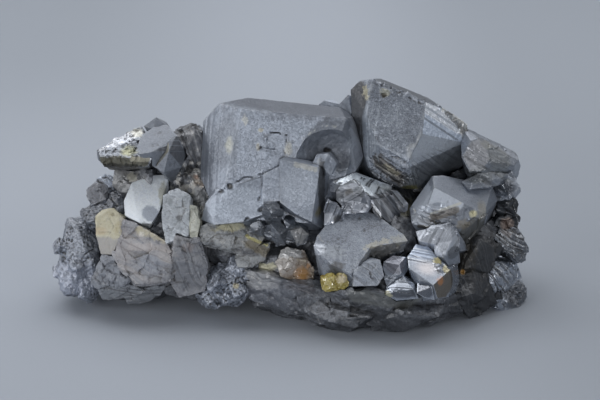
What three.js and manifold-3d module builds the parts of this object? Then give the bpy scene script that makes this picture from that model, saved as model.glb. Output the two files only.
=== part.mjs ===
// Sphalerite and galena specimen: a hand-sized piece of ore with big dull zinc blende crystals,
// bright lead-grey galena, pale carbonate and a few amber crystals, all grown on dark rock.
// Millimetres, +X to the right of the front view, +Y away from the viewer, +Z up.
import * as THREE from 'three';
import { ConvexHull } from 'three/addons/math/ConvexHull.js';
import { mergeVertices } from 'three/addons/utils/BufferGeometryUtils.js';
import Module from 'manifold-3d';

// ---- driving dimensions (mm) ----
const DRAWN_LENGTH = 120; // length that the corner positions below are written for
const LENGTH = 120; // real length of the specimen
const SCALE = LENGTH / DRAWN_LENGTH;
const GAP = 0.3; // air between two named solids
const SIMPLIFY = 0.12; // edges shorter than this are closed up after the cuts
const SAME_FACE = Math.cos((19 * Math.PI) / 180); // faces closer than this share one pocket wall

const wasm = await Module();
wasm.setup();

// ---- small helpers ----
const V = (x, y, z) => new THREE.Vector3(x, y, z);

// Repeatable pseudo-random numbers between 0 and 1.
function dice(seed) {
  let state = seed * 7919 + 17;
  return () => {
    state = (state * 16807) % 2147483647;
    return state / 2147483647;
  };
}

// A manifold solid from a closed set of triangles.
function toSolid(geometry) {
  const plain = geometry.clone();
  plain.deleteAttribute('normal');
  plain.deleteAttribute('uv');
  const merged = mergeVertices(plain, 1e-4);
  const mesh = new wasm.Mesh({
    numProp: 3,
    vertProperties: new Float32Array(merged.attributes.position.array),
    triVerts: new Uint32Array(merged.index.array),
  });
  return new wasm.Manifold(mesh);
}

// The triangles of the smallest convex body round a set of points.
function hullGeometry(points) {
  const hull = new ConvexHull().setFromPoints(points);
  const corners = [];
  for (const face of hull.faces) {
    let edge = face.edge;
    do {
      corners.push(edge.head().point.x, edge.head().point.y, edge.head().point.z);
      edge = edge.next;
    } while (edge !== face.edge);
  }
  const geometry = new THREE.BufferGeometry();
  geometry.setAttribute('position', new THREE.Float32BufferAttribute(corners, 3));
  return geometry;
}

// The same convex body with every face moved out by a distance, found through its dual.
// Faces that lean less than a few degrees from one already kept are left out.
function grownPoints(points, distance) {
  const hull = new ConvexHull().setFromPoints(points);
  const middle = points.reduce((sum, p) => sum.add(p), V(0, 0, 0)).divideScalar(points.length);
  const kept = [];
  for (const face of [...hull.faces].sort((a, b) => b.area - a.area)) {
    if (kept.every((other) => other.normal.dot(face.normal) < SAME_FACE)) kept.push(face);
  }
  const duals = kept.map((face) => {
    const reach = face.constant - face.normal.dot(middle) + distance;
    return face.normal.clone().divideScalar(reach);
  });
  const dual = new ConvexHull().setFromPoints(duals);
  return dual.faces.map((face) => {
    return face.normal.clone().divideScalar(face.constant).add(middle);
  });
}

// One convex crystal: its solid, and the slightly larger one that its neighbours are cut by.
function convex(points) {
  return {
    solid: toSolid(hullGeometry(points)),
    pocket: toSolid(hullGeometry(grownPoints(points, GAP))),
  };
}

// A crystal given by all its corners.
function block(corners) {
  return convex(corners.map((c) => V(...c)));
}

// Face directions of the crystal forms that zinc blende and galena grow.
const FORMS = {
  cube: [[1, 0, 0], [0, 1, 0], [0, 0, 1]],
  octahedron: [[1, 1, 1], [1, 1, -1], [1, -1, 1], [-1, 1, 1]],
  dodecahedron: [[1, 1, 0], [1, -1, 0], [1, 0, 1], [1, 0, -1], [0, 1, 1], [0, 1, -1]],
};

// A whole small crystal: one form, or two combined, at a place, with half sizes and a turn.
function form(kinds, centre, sizes, turn = [0, 0, 0]) {
  const duals = [];
  for (const [kind, reach] of kinds) {
    for (const [x, y, z] of FORMS[kind]) {
      const normal = V(x, y, z).normalize().divideScalar(reach);
      duals.push(normal, normal.clone().negate());
    }
  }
  const dual = new ConvexHull().setFromPoints(duals);
  const euler = new THREE.Euler(...turn.map((a) => (a * Math.PI) / 180));
  const points = dual.faces.map((face) => {
    const p = face.normal.clone().divideScalar(face.constant);
    return p.multiply(V(...sizes)).applyEuler(euler).add(V(...centre));
  });
  return convex(points);
}

// A broken lump of rock: the hull of scattered points on an ellipsoid.
function lump(centre, sizes, seed, count = 22) {
  const roll = dice(seed);
  const points = [];
  for (let i = 0; i < count; i++) {
    const z = 1 - (2 * (i + 0.5)) / count;
    const angle = i * 2.39996 + roll() * 0.9;
    const ring = Math.sqrt(1 - z * z);
    const reach = 0.86 + 0.22 * roll();
    const p = V(ring * Math.cos(angle), ring * Math.sin(angle), z).multiplyScalar(reach);
    points.push(p.multiply(V(...sizes)).add(V(...centre)));
  }
  return convex(points);
}

// A shell-shaped break: an ellipsoid taken out of a crystal.
function shell(centre, sizes) {
  const ball = new THREE.SphereGeometry(1, 18, 10);
  ball.scale(...sizes);
  ball.translate(...centre);
  return toSolid(ball);
}

// A crystal with such a break in it.
function broken(whole, hollow) {
  return { solid: whole.solid.subtract(hollow), pocket: whole.pocket };
}

// ---- the big dull crystal at the left centre ----
const blockParts = [
  broken(block([
    [-12, -5, 51], [13.5, -4, 48.2], [5.5, -12.5, 24], [-18, -14, 26],
    [-17.6, 0, 51], [-19, -8, 33], [-21.8, 2, 45.8], [-22.5, -3.4, 33], [-23, 6, 34.5],
    [-10.8, 6, 50.6], [12.3, 6, 48], [16.2, 5, 46], [18, 4, 43], [18.6, 0, 38.3],
    [16.2, -4, 35], [-21, 13, 40], [-12, 17, 42], [11, 16, 41], [17, 11, 34],
    [-20, 8, 22], [14, 8, 22], [-16, -11, 21], [8, -9, 21],
  ]), shell([10.6, -15.8, 40.6], [13, 12, 13])),
  // raised block on the right of its front, and the low step on the left
  block([
    [-2.6, -12.2, 40.3], [7, -13, 38.5], [5, -18, 26.5], [1, -18, 28.7], [-2.6, -17, 31.2],
    [-1, -7.5, 39.7], [8, -8, 37.8], [9.4, -6.5, 34], [7.7, -12, 22.5],
    [-2.6, -11, 27], [6, -8, 22], [-3, -5, 38],
  ]),
  block([
    [-6.6, -11.5, 36.4], [-2.6, -12, 38.7], [-2.4, -16.3, 31.4], [-7, -15.4, 30], [-8, -8, 34],
    [-2, -8, 37], [-7, -9, 28], [-2, -9, 28],
  ]),
  block([
    [-18.6, -11.3, 31.8], [-7, -10.9, 35.3], [-6.5, -15.1, 27.4], [-12, -15.6, 25.6],
    [-18.6, -14.9, 24.6], [-21, -11.2, 28.6], [-22, -11.6, 24.6], [-18, -8, 33], [-7, -8, 34],
    [-7, -9, 23], [-18, -9, 22],
  ]),
  // a low face at the foot of its left side
  block([
    [-22.4, 1, 39.6], [-25, 2.5, 36.3], [-25.2, 2, 33], [-22.6, 0, 32.4], [-24, 8, 36],
    [-21, 6, 38], [-21, 6, 32],
  ]),
  // two small crystals that look over its right shoulder
  block([
    [6.3, 8, 47.6], [8.3, 9, 49], [10.6, 10, 49], [12.3, 8, 48.3], [11.8, 5, 44.5],
    [7.5, 6, 45], [6, 15, 43], [13, 15, 43],
  ]),
  block([
    [12.1, 7, 48.3], [14.4, 8, 50.8], [15.6, 9, 50], [15.6, 5, 45], [12.1, 5, 45],
    [11, 14, 45], [16, 14, 45], [14, 12, 38],
  ]),
  // small one in the broken hollow
  form([['dodecahedron', 2.6]], [8.4, -8.4, 38], [1, 1, 1], [30, 10, 20]),
];

// ---- the peak at the upper right ----
const peakParts = [
  block([
    [20.5, 1, 57], [26, 0.2, 54.2], [33.1, -1.7, 52.1], [32.1, -5.8, 44.9], [29, -7.9, 41.4],
    [29, -8.8, 39.7], [28.8, -8.8, 37], [21.5, -7, 42.5], [18.8, -3.6, 49], [19.5, -0.5, 54.5],
    [17.2, 4, 55.6], [15, 5, 53], [15.3, 3, 47.6], [19, -4, 37.5],
    [34.5, 2.5, 50.2], [37.1, 1.3, 49.7], [44.2, 5.7, 43.6], [43.9, 3.7, 39.5],
    [44.7, 6.5, 40.4], [38.7, -0.2, 42.6], [41.7, 1.9, 39.8],
    [34.5, -4.1, 38.9], [37.7, -1.2, 39.3],
    [31.6, -2.6, 29.5], [37.7, 2.6, 32.1], [41.9, 5.4, 34.9], [44.5, 9, 33],
    [23.5, -4, 35], [28, -4, 31],
    [17, 13, 50], [23, 15, 53], [35, 15, 48], [44, 14, 41], [46, 12, 34],
    [17, 10, 30], [22, 0, 29], [43, 13, 28],
  ]),
];

// ---- the wedge at the right centre ----
const wedgeParts = [
  block([
    [35, -7, 34.3], [37.7, -5.2, 33.8], [44.5, -5, 30.3], [50.5, -1, 29.6], [52, -1, 25.8],
    [50.7, -3, 24.1], [48, -9, 25.4], [42.7, -10, 28.3], [35.2, -10, 32.5],
    [33.2, -13, 28], [29.7, -14, 24.7], [29.4, -10, 26.9], [35.5, -14.5, 23.2],
    [44.4, -12, 23.2], [44.3, -11, 16.9], [47, -8.5, 19.3], [50, 3, 17], [37, 4, 29], [49, 6, 26],
    [31, -6, 19], [36, -12, 15], [46, 2, 12], [33, 2, 20],
  ]),
  // ledge under it and the dark tooth that hangs from the ledge
  block([
    [30.6, -16.5, 23.3], [36, -17.2, 24.5], [39, -16, 25.6], [42.6, -15, 20], [43.5, -14, 17.5],
    [41, -18, 18.8], [39, -19.3, 22], [35, -19.8, 21.4], [31.2, -19.3, 21.9],
    [32, -10, 17], [42, -9, 14], [34, -14, 15],
  ]),
  block([
    [35, -19.8, 21.4], [39, -19.3, 22], [41, -18, 19], [37, -22.5, 19], [35, -20.5, 18.5],
    [40.5, -18.5, 16], [41.5, -17, 15.4], [38.6, -20.5, 15.6], [36, -14, 17], [41, -12, 14],
  ]),
];

// ---- the flat-topped crystal at the front ----
const frontParts = [
  block([
    [6.4, -18.2, 22.8], [8.6, -15.2, 24.5], [13.6, -11.7, 26.3], [16.8, -10.2, 27.1],
    [21.5, -12.1, 25.7], [27.5, -16.7, 22.6], [28.4, -18.3, 21.6], [23.2, -19.2, 21.4],
    [19.2, -20.5, 20.8], [5.6, -20.8, 21.2],
    [27, -15, 17], [19, -16, 14], [7, -17, 12], [9, -6, 20], [24, -6, 20], [22, -9, 12],
  ]),
  block([
    [19.2, -20.5, 20.8], [14.5, -27.4, 16.7], [9.7, -25.4, 18.3], [5.6, -20.8, 21.2],
    [9.6, -16.5, 23.7], [15.2, -25.3, 12.5], [18.5, -17, 13], [7.5, -17.5, 12], [9, -23, 12],
  ]),
  block([
    [15.1, -27.2, 17.2], [18.9, -24.5, 18.8], [21.5, -24, 18.8], [22.4, -26.5, 15.7],
    [20.8, -28, 14], [15, -28, 13.8], [13, -20, 15], [19, -17, 17], [20, -18, 11], [15, -20, 10],
  ]),
];

// ---- the bright cluster at the front right ----
const brightParts = [
  block([
    [30.5, -19, 20.8], [33.4, -19, 20.2], [36.7, -22, 17.3], [38.3, -24, 16.2],
    [34, -29.3, 14.6], [30.7, -28.5, 15.5], [28.4, -26, 17.6], [28.3, -23, 19.2],
    [38.9, -23, 12.2], [38.2, -24, 9.2], [35.2, -28, 10.6], [32, -26, 9],
    [29, -14, 16], [38, -12, 15], [38, -14, 8], [30, -16, 8],
  ]),
  block([
    [38.3, -23.8, 16.2], [40.8, -17, 15.5], [41.4, -17.5, 10.9], [40.6, -19, 8.6],
    [38.2, -24, 9.2], [38.9, -23.3, 12.2], [35, -20, 16], [35, -16, 9], [39, -11, 12],
  ]),
  block([
    [22.5, -24, 18.3], [24.8, -21, 18.7], [27.8, -21, 18.4], [26.1, -24.3, 17.7],
    [26.6, -25.3, 16], [23.2, -27.5, 13.6], [22, -25.5, 16.1], [29, -21, 16.1],
    [27.3, -25, 15.3], [23, -15, 15], [29, -14, 15], [25, -20, 10],
  ]),
  block([
    [23.2, -27.2, 13.4], [26.9, -25, 15.3], [29.7, -27, 13.8], [30.6, -28.5, 10.8],
    [25.3, -29, 10.5], [22.7, -28, 11.7], [24.5, -29.3, 12.8], [29.3, -29, 13.3],
    [24, -18, 12], [30, -18, 12], [26, -22, 7],
  ]),
  block([
    [30.6, -27.5, 14.8], [33.8, -29.2, 14], [34.5, -28.5, 10.4], [32, -29, 11.3],
    [30.3, -28.5, 12.2], [30, -20, 14], [34, -20, 9],
  ]),
];

// ---- the striated galena in the middle ----
const galenaParts = [
  // the bright etched band
  block([
    [10.4, -5.5, 34.8], [11.7, -4, 35.6], [13.7, -4, 35.2], [20.7, -4.5, 32.5], [25.1, -5.5, 31.2],
    [24.6, -9.2, 30.4], [21.7, -11.2, 29.9], [19.2, -11, 30], [9.6, -8.5, 33.6], [9.7, -10, 31.5],
    [12, 0, 30], [24, 0, 26], [12, -4, 22], [24, -6, 22],
  ]),
  // the raised grey face in front of it, and the streaked one below
  block([
    [11.8, -10.5, 33], [15.5, -9, 34.3], [17, -9.5, 33.6], [17.9, -11.5, 32.1], [16.7, -12.5, 31.4],
    [12.8, -12.6, 28.8], [11.2, -12, 29.9], [11, -11, 31.9], [12, -4, 28], [18, -6, 25],
  ]),
  block([
    [12.8, -12.4, 29], [16.6, -12.2, 31.3], [17.8, -11.3, 32], [19.4, -11.6, 30.3],
    [20.2, -12.2, 28.4], [18.7, -12.8, 27], [15, -13.2, 26.9], [12.3, -13, 26.9],
    [12, -6, 24], [20, -6, 24],
  ]),
  // dark slabs at the right and the small pale block beside them
  block([
    [19.7, -11.8, 29.8], [21.9, -11.5, 30], [24.7, -9.5, 30.3], [25.5, -9.5, 29], [27, -9.5, 25.8],
    [26.7, -11.5, 22.9], [24.9, -13, 23.2], [22.4, -13.5, 24.9], [20.2, -13, 27.1], [22, -4, 27],
    [28, -3, 24], [24, -6, 19],
  ]),
  block([
    [24.7, -8.2, 31.1], [26.3, -7.8, 30.7], [27.5, -8, 29.2], [29, -8.6, 27.6], [28.8, -9, 25.9],
    [27.5, -9.6, 24.5], [26, -9.8, 25.9], [27, -3, 27],
  ]),
  // the low fan at the left
  block([
    [9.1, -12.5, 30.3], [11.3, -12.8, 29.1], [12.8, -13.2, 26.7], [12.9, -14.2, 24.4],
    [10.3, -15.8, 22.7], [8.2, -15.6, 24.4], [8.1, -14, 27.5], [9, -7, 28], [14, -8, 24],
    [10, -10, 20],
  ]),
];

// ---- crystals on the right flank ----
const flankParts = [
  block([
    [42.6, -3, 38], [44.9, -0.5, 41.3], [47.1, 1.5, 41.4], [49.4, 0.5, 38.7], [49.5, -1.5, 37],
    [47.3, -4, 34.6], [44.3, -4.5, 34.8], [53.3, 6, 37.4], [57.7, 5.5, 34.3], [56.7, 3.5, 33.7],
    [53, 1.5, 33.5], [43, 8, 42.6], [50.4, 10, 38.2], [57.7, 9, 35], [58.8, 9, 31.5],
    [46, 16, 39], [55, 17, 34], [46, 4, 26], [56.6, 7, 24], [50, 16, 24],
  ]),
  block([
    [42.6, -5, 32.1], [46.9, -4, 34.1], [50.4, -1.5, 33.5], [56, 3, 31.4], [55, 2, 29.9],
    [50.2, -3.5, 32.1], [49.9, -4.5, 30.6], [44.2, -6.5, 30.8], [47, 8, 30], [54, 10, 29],
    [48, 4, 25], [44, 0, 28],
  ]),
  form([['dodecahedron', 3.6]], [54, 3.6, 27.4], [1, 1, 1.05], [10, 20, 15]),
];

// ---- stack of crystals down the right end ----
const endKnob = [
  form([['dodecahedron', 2.6], ['octahedron', 3]], [54.6, 1.5, 23.4], [1, 1, 1.1], [20, 15, 40]),
  block([
    [51.2, -3.6, 20], [52.3, -2, 21.4], [56.6, 0, 22], [58.1, 1, 20.4], [57.4, -1, 18.4],
    [54.2, -3.6, 18.6], [51, 8, 20], [57, 9, 20], [54, 6, 15],
  ]),
];
const endLeaf = [
  block([
    [50.9, -7, 17.9], [52.9, -4, 19.2], [56.7, -2, 19], [58.8, -2.5, 16.2], [60, -3, 13.3],
    [59.2, -5, 11.1], [57.3, -8, 11.5], [53.8, -9, 15.5], [50, 5, 17], [58, 7, 16], [58.6, 5, 10],
    [52, 2, 10],
  ]),
];
const endRibbed = [
  block([
    [47.4, -13, 7.7], [48, -11, 11], [51.5, -8.5, 12.2], [57, -5, 10.3], [58.4, -5, 6.5],
    [55, -9, 5.4], [51, -13, 5.8], [50, 3, 9], [57, 4, 8], [52, -2, 3], [50, -14, 9],
  ]),
  block([
    [50.3, -12.5, 4.5], [52.9, -9.5, 5.6], [57.1, -6, 5.7], [60, -4, 3], [60, -5.5, 1.2],
    [57.8, -9, -0.2], [52.9, -11.5, -0.2], [49, -8, -0.2], [50, 2, 4], [58, 6, 4],
    [57, 4, -0.2], [50, 0, -0.2],
  ]),
];

// ---- bright slab and lens crystals on the upper left ----
const crestSlab = [
  block([
    [-47.8, -4, 39.9], [-44.2, 0, 41.6], [-37.8, 4, 43.6], [-38.2, -3, 41], [-41.6, -7.5, 39.2],
    [-46.8, -7, 39.3], [-46.3, -8, 37.3], [-34.9, -8, 37.4], [-34.4, -7.5, 39.2],
    [-38, -4.5, 35.4], [-44.8, -4.5, 35.4], [-48, -3, 37.7], [-44, 6, 38], [-36, 8, 40],
    [-36, 4, 32], [-41, 3, 32],
  ]),
];
const crestLens = [
  block([
    [-37.9, -6, 41.6], [-37, -2, 43.4], [-34.5, 1, 44.5], [-31.1, 2, 44.8], [-28.3, -2, 43.1],
    [-30.1, -5, 41.8], [-34.3, -8.5, 41.1], [-37.2, -8.5, 40.6], [-30.1, -5.5, 40.4],
    [-33.4, -6, 36.2], [-36.9, -7, 38.8], [-36, 4, 40], [-29, 5, 40], [-33, 2, 33],
  ]),
  block([
    [-30.1, -5, 42.6], [-28.5, -3, 43.4], [-27.1, -3, 40.6], [-26.6, -3, 38], [-27.3, -4.5, 36],
    [-31.4, -7.5, 35.6], [-33.3, -7, 36.7], [-30, -7, 40.9], [-30, 3, 41], [-26, 4, 37],
    [-30, 0, 30],
  ]),
  block([
    [-36.8, 2, 44.5], [-33.8, 3, 46.4], [-31.5, 4, 44.9], [-31.1, 2.5, 44.2], [-34.5, 1, 44],
    [-35, 8, 43], [-31, 9, 42], [-33, 4, 36],
  ]),
];

// ---- pale and dark crystals on the left ----
const leftPale = [
  block([
    [-39.5, -6, 32.2], [-35, -3, 33], [-31.9, -1.5, 32.7], [-30.9, -2, 31.8], [-31.9, -7, 29.2],
    [-32.6, -11, 26.4], [-37.5, -14, 25.9], [-40.7, -13, 26.3], [-41.2, -10, 28.9],
    [-34.3, -14, 24.6], [-36.7, -14.5, 24.8], [-33, -8, 26.8], [-30.8, -1, 29.1],
    [-40, 4, 28], [-32, 5, 28], [-36, -4, 18],
  ]),
];
const leftDark = [
  block([
    [-51.3, -3, 29.3], [-47, 2, 32], [-45.9, 2, 31], [-45, 0, 29.5], [-46.3, -6, 28],
    [-49.9, -6, 26.3], [-49.6, -2.5, 31], [-50, 6, 25], [-43, 8, 27], [-46, -2, 20],
  ]),
];
// granular galena bank below the dark crystal
const leftBank = [
  block([
    [-52.6, -6, 24.4], [-48.5, -4, 27.6], [-42.6, -2.5, 29.4], [-41.6, -8, 26.6],
    [-44, -10, 25.9], [-48.8, -10, 23.6], [-51.8, -8, 22.4], [-51, 4, 22], [-42, 6, 24],
    [-44, -4, 14],
  ]),
];

// ---- yellowish cleavage crystal, grey-white carbonate below it and beside it ----
const yellowSpar = [
  block([
    [-47.8, -12, 25.4], [-46.5, -10, 26.2], [-44, -10, 26.5], [-41.3, -12.5, 24.8],
    [-42.1, -16, 21.9], [-43.9, -16.5, 17.7], [-46.5, -15.5, 17.3], [-47.6, -14.7, 21.6],
    [-47, -4, 22], [-42, -4, 23], [-44, -8, 14],
  ]),
];
const sparBulk = [
  block([
    [-40.9, -14, 25.2], [-39.2, -14, 24.8], [-38.9, -16, 21.9], [-34.2, -17.5, 19.6],
    [-30.6, -16.5, 20.6], [-28.6, -18, 15.9], [-28.8, -17.5, 11.7], [-30.7, -18.5, 10.8],
    [-38, -19.6, 10.9], [-42, -18.5, 15.1], [-43.6, -17, 17.6], [-42.1, -16, 20.9],
    [-42, -6, 16], [-30, -6, 16], [-40, -10, 6], [-31, -10, 6],
  ]),
  // its right-hand continuation, down to the foot
  block([
    [-28.3, -16.6, 22.4], [-23, -16.2, 21], [-20.9, -16.8, 15.4], [-21.6, -16, 7.6],
    [-27.5, -16, 6.3], [-29.1, -18.2, 16], [-29.5, -15.5, 10], [-31, -10, 14],
    [-28, -6, 20], [-22, -6, 18], [-22, -6, 8], [-28, -6, 8],
  ]),
];
const sparCorner = [
  block([
    [-49.2, -14, 9.2], [-47.5, -15, 13.6], [-46, -16, 16.6], [-43.2, -17.2, 16.6],
    [-39.6, -19.5, 12.4], [-41.3, -18.5, 10.3], [-47.8, -16, 8.4], [-47, -6, 10], [-41, -8, 6],
  ]),
];
const sparKeel = [
  block([
    [-47.9, -15, 7.7], [-40, -18, 10], [-36.7, -17.5, 8.2], [-38.8, -15.5, 5.6],
    [-47, -12.5, 3.6], [-45, -5, 6], [-38, -6, 3],
  ]),
  block([
    [-41.6, -13.5, 4.6], [-37.8, -15.5, 7.3], [-31, -15, 8.8], [-33, -13, 5.2],
    [-36, -11, 2.4], [-41, -10.5, 1.8], [-40, -4, 5], [-32, -5, 7],
  ]),
];
const sparColumn = [
  block([
    [-31.3, -10, 30.2], [-28.2, -8, 31], [-25.2, -9, 29.8], [-24.8, -12, 25.7],
    [-25.4, -16, 22.3], [-30.3, -16.5, 20.6], [-31.4, -14, 25.5], [-30, -2, 27], [-25, -2, 26],
    [-26, -8, 16], [-30, -9, 16],
  ]),
];
const sparLeaf = [
  block([
    [-24.6, -12.4, 28.6], [-23.2, -11.6, 28], [-22.4, -14, 24.6], [-23, -16.2, 21.6],
    [-24.6, -16.6, 21.8], [-24.8, -14.4, 24.4], [-24, -6, 26], [-22, -7, 22], [-24, -9, 18],
  ]),
];
const sparBrow = [
  block([
    [-22.1, -13, 23], [-16, -12.5, 25.4], [-10.8, -13, 23.4], [-6.6, -15, 21],
    [-9.7, -18.2, 18.6], [-16.5, -17.5, 20.6], [-22, -16, 20.8], [-24, -8, 18], [-8, -8, 18],
    [-14, -10, 14],
  ]),
  block([
    [-13.2, -17.6, 17], [-9.2, -17.3, 18.8], [-5.4, -15, 19.8], [-6.8, -18, 16.7],
    [-9.7, -19.3, 15.6], [-12.6, -19, 15.4], [-12, -10, 17], [-6, -10, 16], [-9, -12, 12],
  ]),
];

// ---- amber and yellow crystals at the front ----
const amberParts = [
  block([
    [-2.4, -16, 18.3], [-0.7, -15, 18.6], [3.2, -15.5, 17.8], [4.2, -19, 16.5], [0.1, -20.3, 17.8],
    [-2.6, -19, 17.6], [-3.6, -20, 16.6], [5.7, -19, 14.2], [5.4, -19, 12.1], [3.2, -20.5, 10.6],
    [-2.4, -21, 13.4], [-2, -13, 14], [5, -14, 13], [2, -15, 9],
  ]),
];
const yellowParts = [
  form([['dodecahedron', 2.2], ['cube', 2]], [12.4, -25, 14.4], [0.95, 1, 1.15], [20, 30, 20]),
  form([['dodecahedron', 2], ['octahedron', 2.1]], [9.7, -25, 13.5], [1, 1, 1.2], [40, 10, 60]),
];

// ---- small dark crystals in the hollow under the block ----
const darkParts = [
  block([
    [-6.5, -17.5, 30.9], [-4.5, -18, 31.3], [-1.9, -17.5, 30.3], [-1.7, -17, 28.1],
    [-2.6, -16.5, 26.1], [-6.1, -16.5, 26.1], [-7, -17, 28.3], [-4.5, -19, 29.1],
    [-6, -10, 30], [-2, -10, 30], [-4, -10, 26], [-4, -14.5, 23.6],
  ]),
  block([
    [-4.8, -17, 25.5], [-2.6, -19, 23.4], [-0.9, -17.5, 24.4], [-1.4, -17, 20], [-3.6, -17, 19.7],
    [-4.8, -17.5, 22.5], [-3.5, -15.5, 26.4], [-4, -10, 24], [-1, -10, 24], [-3, -11, 19],
  ]),
  block([
    [-10, -16.5, 24.8], [-6.5, -17, 24.7], [-6.8, -17, 22.1], [-10, -16.5, 23.2], [-8.2, -18, 24.3],
    [-8, -15, 26], [-9, -10, 25], [-6, -10, 25], [-8, -11, 21],
  ]),
  block([
    [-1.7, -17, 26.5], [0.8, -16, 26.2], [1, -16.5, 24.3], [-0.9, -17.5, 24.4], [-0.2, -17.6, 25.6],
    [-1, -10, 26], [1, -10, 25], [0, -11, 22],
  ]),
  block([
    [0, -17, 23.7], [2.5, -16, 24.1], [4.2, -15.5, 22.3], [3.7, -16.5, 20.1], [1.5, -17.5, 19.9],
    [0.5, -14, 25], [4, -9, 23], [0, -9, 22], [2, -10, 18],
  ]),
  // the base that they share
  block([
    [-9.5, -14.6, 24.4], [-9, -14, 21.5], [3.5, -14, 23.4], [3, -14.6, 20], [-3, -15.6, 24.6],
    [-3, -15, 19.6], [-8, -9, 22], [3, -9, 21],
  ]),
];

// ---- granular galena: the lump at the left end and the patch on the front ----
const lumpParts = [
  lump([-53.2, -2.5, 11.3], [6.4, 10, 10.6], 3, 26),
  lump([-54.6, -5, 8.5], [5.2, 8, 7], 8, 20),
  lump([-51.5, -5.5, 5.2], [4.5, 7, 5.2], 12, 22),
  lump([-52.5, 3, 12], [6, 8, 8.5], 15, 16),
  form([['cube', 1.5]], [-57.6, -7, 15.6], [1, 1, 1], [20, 30, 10]),
  form([['cube', 1.6]], [-58, -6.8, 8.6], [1, 1, 1], [10, 50, 20]),
  form([['cube', 1.4]], [-53.8, -11, 11.6], [1, 1, 1], [30, 20, 50]),
];
const patchParts = [
  lump([-15, -15.5, 9], [6.4, 5, 5.6], 21, 24),
  lump([-19.6, -14.2, 5.8], [4.6, 4.5, 3.8], 22, 18),
  lump([-12, -16, 13.4], [4.4, 4, 3.6], 23, 20),
  form([['cube', 1.5]], [-17.6, -19, 11], [1, 1, 1], [25, 30, 10]),
  form([['cube', 1.4]], [-13.2, -20, 9], [1, 1, 1], [45, 10, 30]),
];

// ---- dark rock that carries everything ----
const rockParts = [
  lump([-34, 3, 14], [18, 19, 13.6], 31, 24),
  lump([-10, 5, 16], [24, 20, 16], 32, 26),
  lump([18, 3, 15], [26, 21, 16], 33, 26),
  lump([38, 2, 14], [19, 18, 15], 34, 24),
  lump([-26, 8, 27], [13, 13, 13], 35, 30),
  lump([-25.4, 3.4, 37], [5.4, 6.6, 8.6], 48, 18),
  lump([33, 12, 24], [17, 13, 14], 36, 30),
  lump([0, 17, 25], [22, 12, 16], 37, 30),
  // broken rock between the bright slab and the pale crystal
  block([
    [-43.6, -1.5, 33.6], [-34.8, -3.5, 34.6], [-35.1, -6, 30.4], [-42.2, -5, 29.4],
    [-44.6, -2.5, 30], [-43, 6, 32], [-34, 7, 33], [-38, 8, 24], [-36, -1, 24], [-42, 0, 25],
  ]),
  // the front foot, lowest and furthest forward under the flat-topped crystal
  lump([1, -11.6, 6], [12.4, 10.6, 7.6], 41, 18),
  lump([13, -16.4, 5.2], [12.6, 12.2, 7], 42, 22),
  lump([28, -16, 4.8], [13.2, 13, 6.8], 43, 22),
  lump([42, -10, 6.4], [10.2, 10.2, 7.6], 44, 20),
  // broken faces that run flush with the crystals at the front and the right
  block([
    [-12.5, -18.5, 14.5], [-1.4, -21, 11.1], [9.5, -24.5, 10.7], [9.5, -24.5, 3.8],
    [-0.2, -21, 3.9], [-8.9, -19, 6.2], [-12.6, -18, 8.5], [-11, -6, 16], [10, -6, 14],
    [-10, -6, 6], [10, -8, 3],
  ]),
  block([
    [9.5, -25, 11.4], [13.6, -26, 12.8], [17.8, -27.8, 12.6], [22.4, -28.2, 12], [27.5, -28, 10.9],
    [31.2, -26.6, 10], [40.1, -21.5, 8.9], [42.4, -18, 2.5],
    [34.2, -22, 1.1], [21.7, -25.5, 2.1], [10.8, -25, 4], [12, -6, 16], [36, -6, 14],
    [12, -8, 3], [36, -8, 2],
  ]),
  block([
    [43.2, -15.5, 14.9], [46.8, -12.5, 19.3], [50.3, -10.5, 16.9], [50.8, -11, 7.9],
    [46.5, -14.5, 6.4], [42.2, -17.5, 9.6], [42, -4, 19], [50, -2, 18], [49, -3, 6], [42, -4, 6],
  ]),
  block([
    [40.3, -20, 7.7], [46, -15.5, 9], [52.2, -12, 7.8], [53.3, -11, 2.7], [44.6, -16.5, 0.3],
    [41, -6, 10], [51, -3, 9], [50, -4, 1], [41, -6, 0.5],
  ]),
  block([
    [43.4, -12.5, 17.7], [46.3, -10, 18.8], [47.8, -10.5, 17.2], [46.7, -12.5, 13.7],
    [47, -13.5, 10.3], [50, -13, 5.8], [47, -15.5, 3.6], [41.3, -18.5, 3.8], [40.6, -18.5, 8.7],
    [41.7, -16.5, 11.8], [42.8, -14.5, 15], [42, -4, 19], [50, -3, 12], [44, -6, 6],
  ]),
  // two low feet at the back
  lump([-16, 15, 8], [13, 10.5, 8.6], 51, 24),
  lump([26, 15.5, 8], [15, 10.5, 8.6], 52, 24),
  // left foot and the seams between the pale crystals
  lump([-24, -7, 8], [12, 8.6, 6.4], 45, 24),
  lump([-41, -1, 6], [9, 10, 7], 46, 22),
  lump([-6, -12.4, 12], [10, 7, 6.6], 47, 18),
  lump([-28, -10, 14], [6, 6.4, 9], 49, 20),
  lump([47, 4, 22], [7, 8, 9], 50, 20),
];

// ---- back of the specimen: crystals of the same kind as on the front ----
const backLeft = [
  form([['dodecahedron', 7.5], ['cube', 8.4]], [-27, 17, 31], [1.15, 1, 1], [20, 15, 40]),
];
const backRight = [
  form([['dodecahedron', 8.2], ['octahedron', 9.6]], [31, 19.6, 34], [1.1, 1, 1], [35, 10, 15]),
];
const backMiddle = [
  form([['dodecahedron', 6.2]], [5, 22.4, 32], [1.2, 0.95, 1], [10, 25, 30]),
];
const backLow = [
  form([['dodecahedron', 5.2], ['cube', 5.6]], [-42, 12, 20], [1.1, 1, 1], [45, 20, 10]),
];
const backEnd = [
  form([['dodecahedron', 5.6]], [46, 17, 19], [1.1, 1, 1.1], [15, 40, 25]),
];

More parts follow.
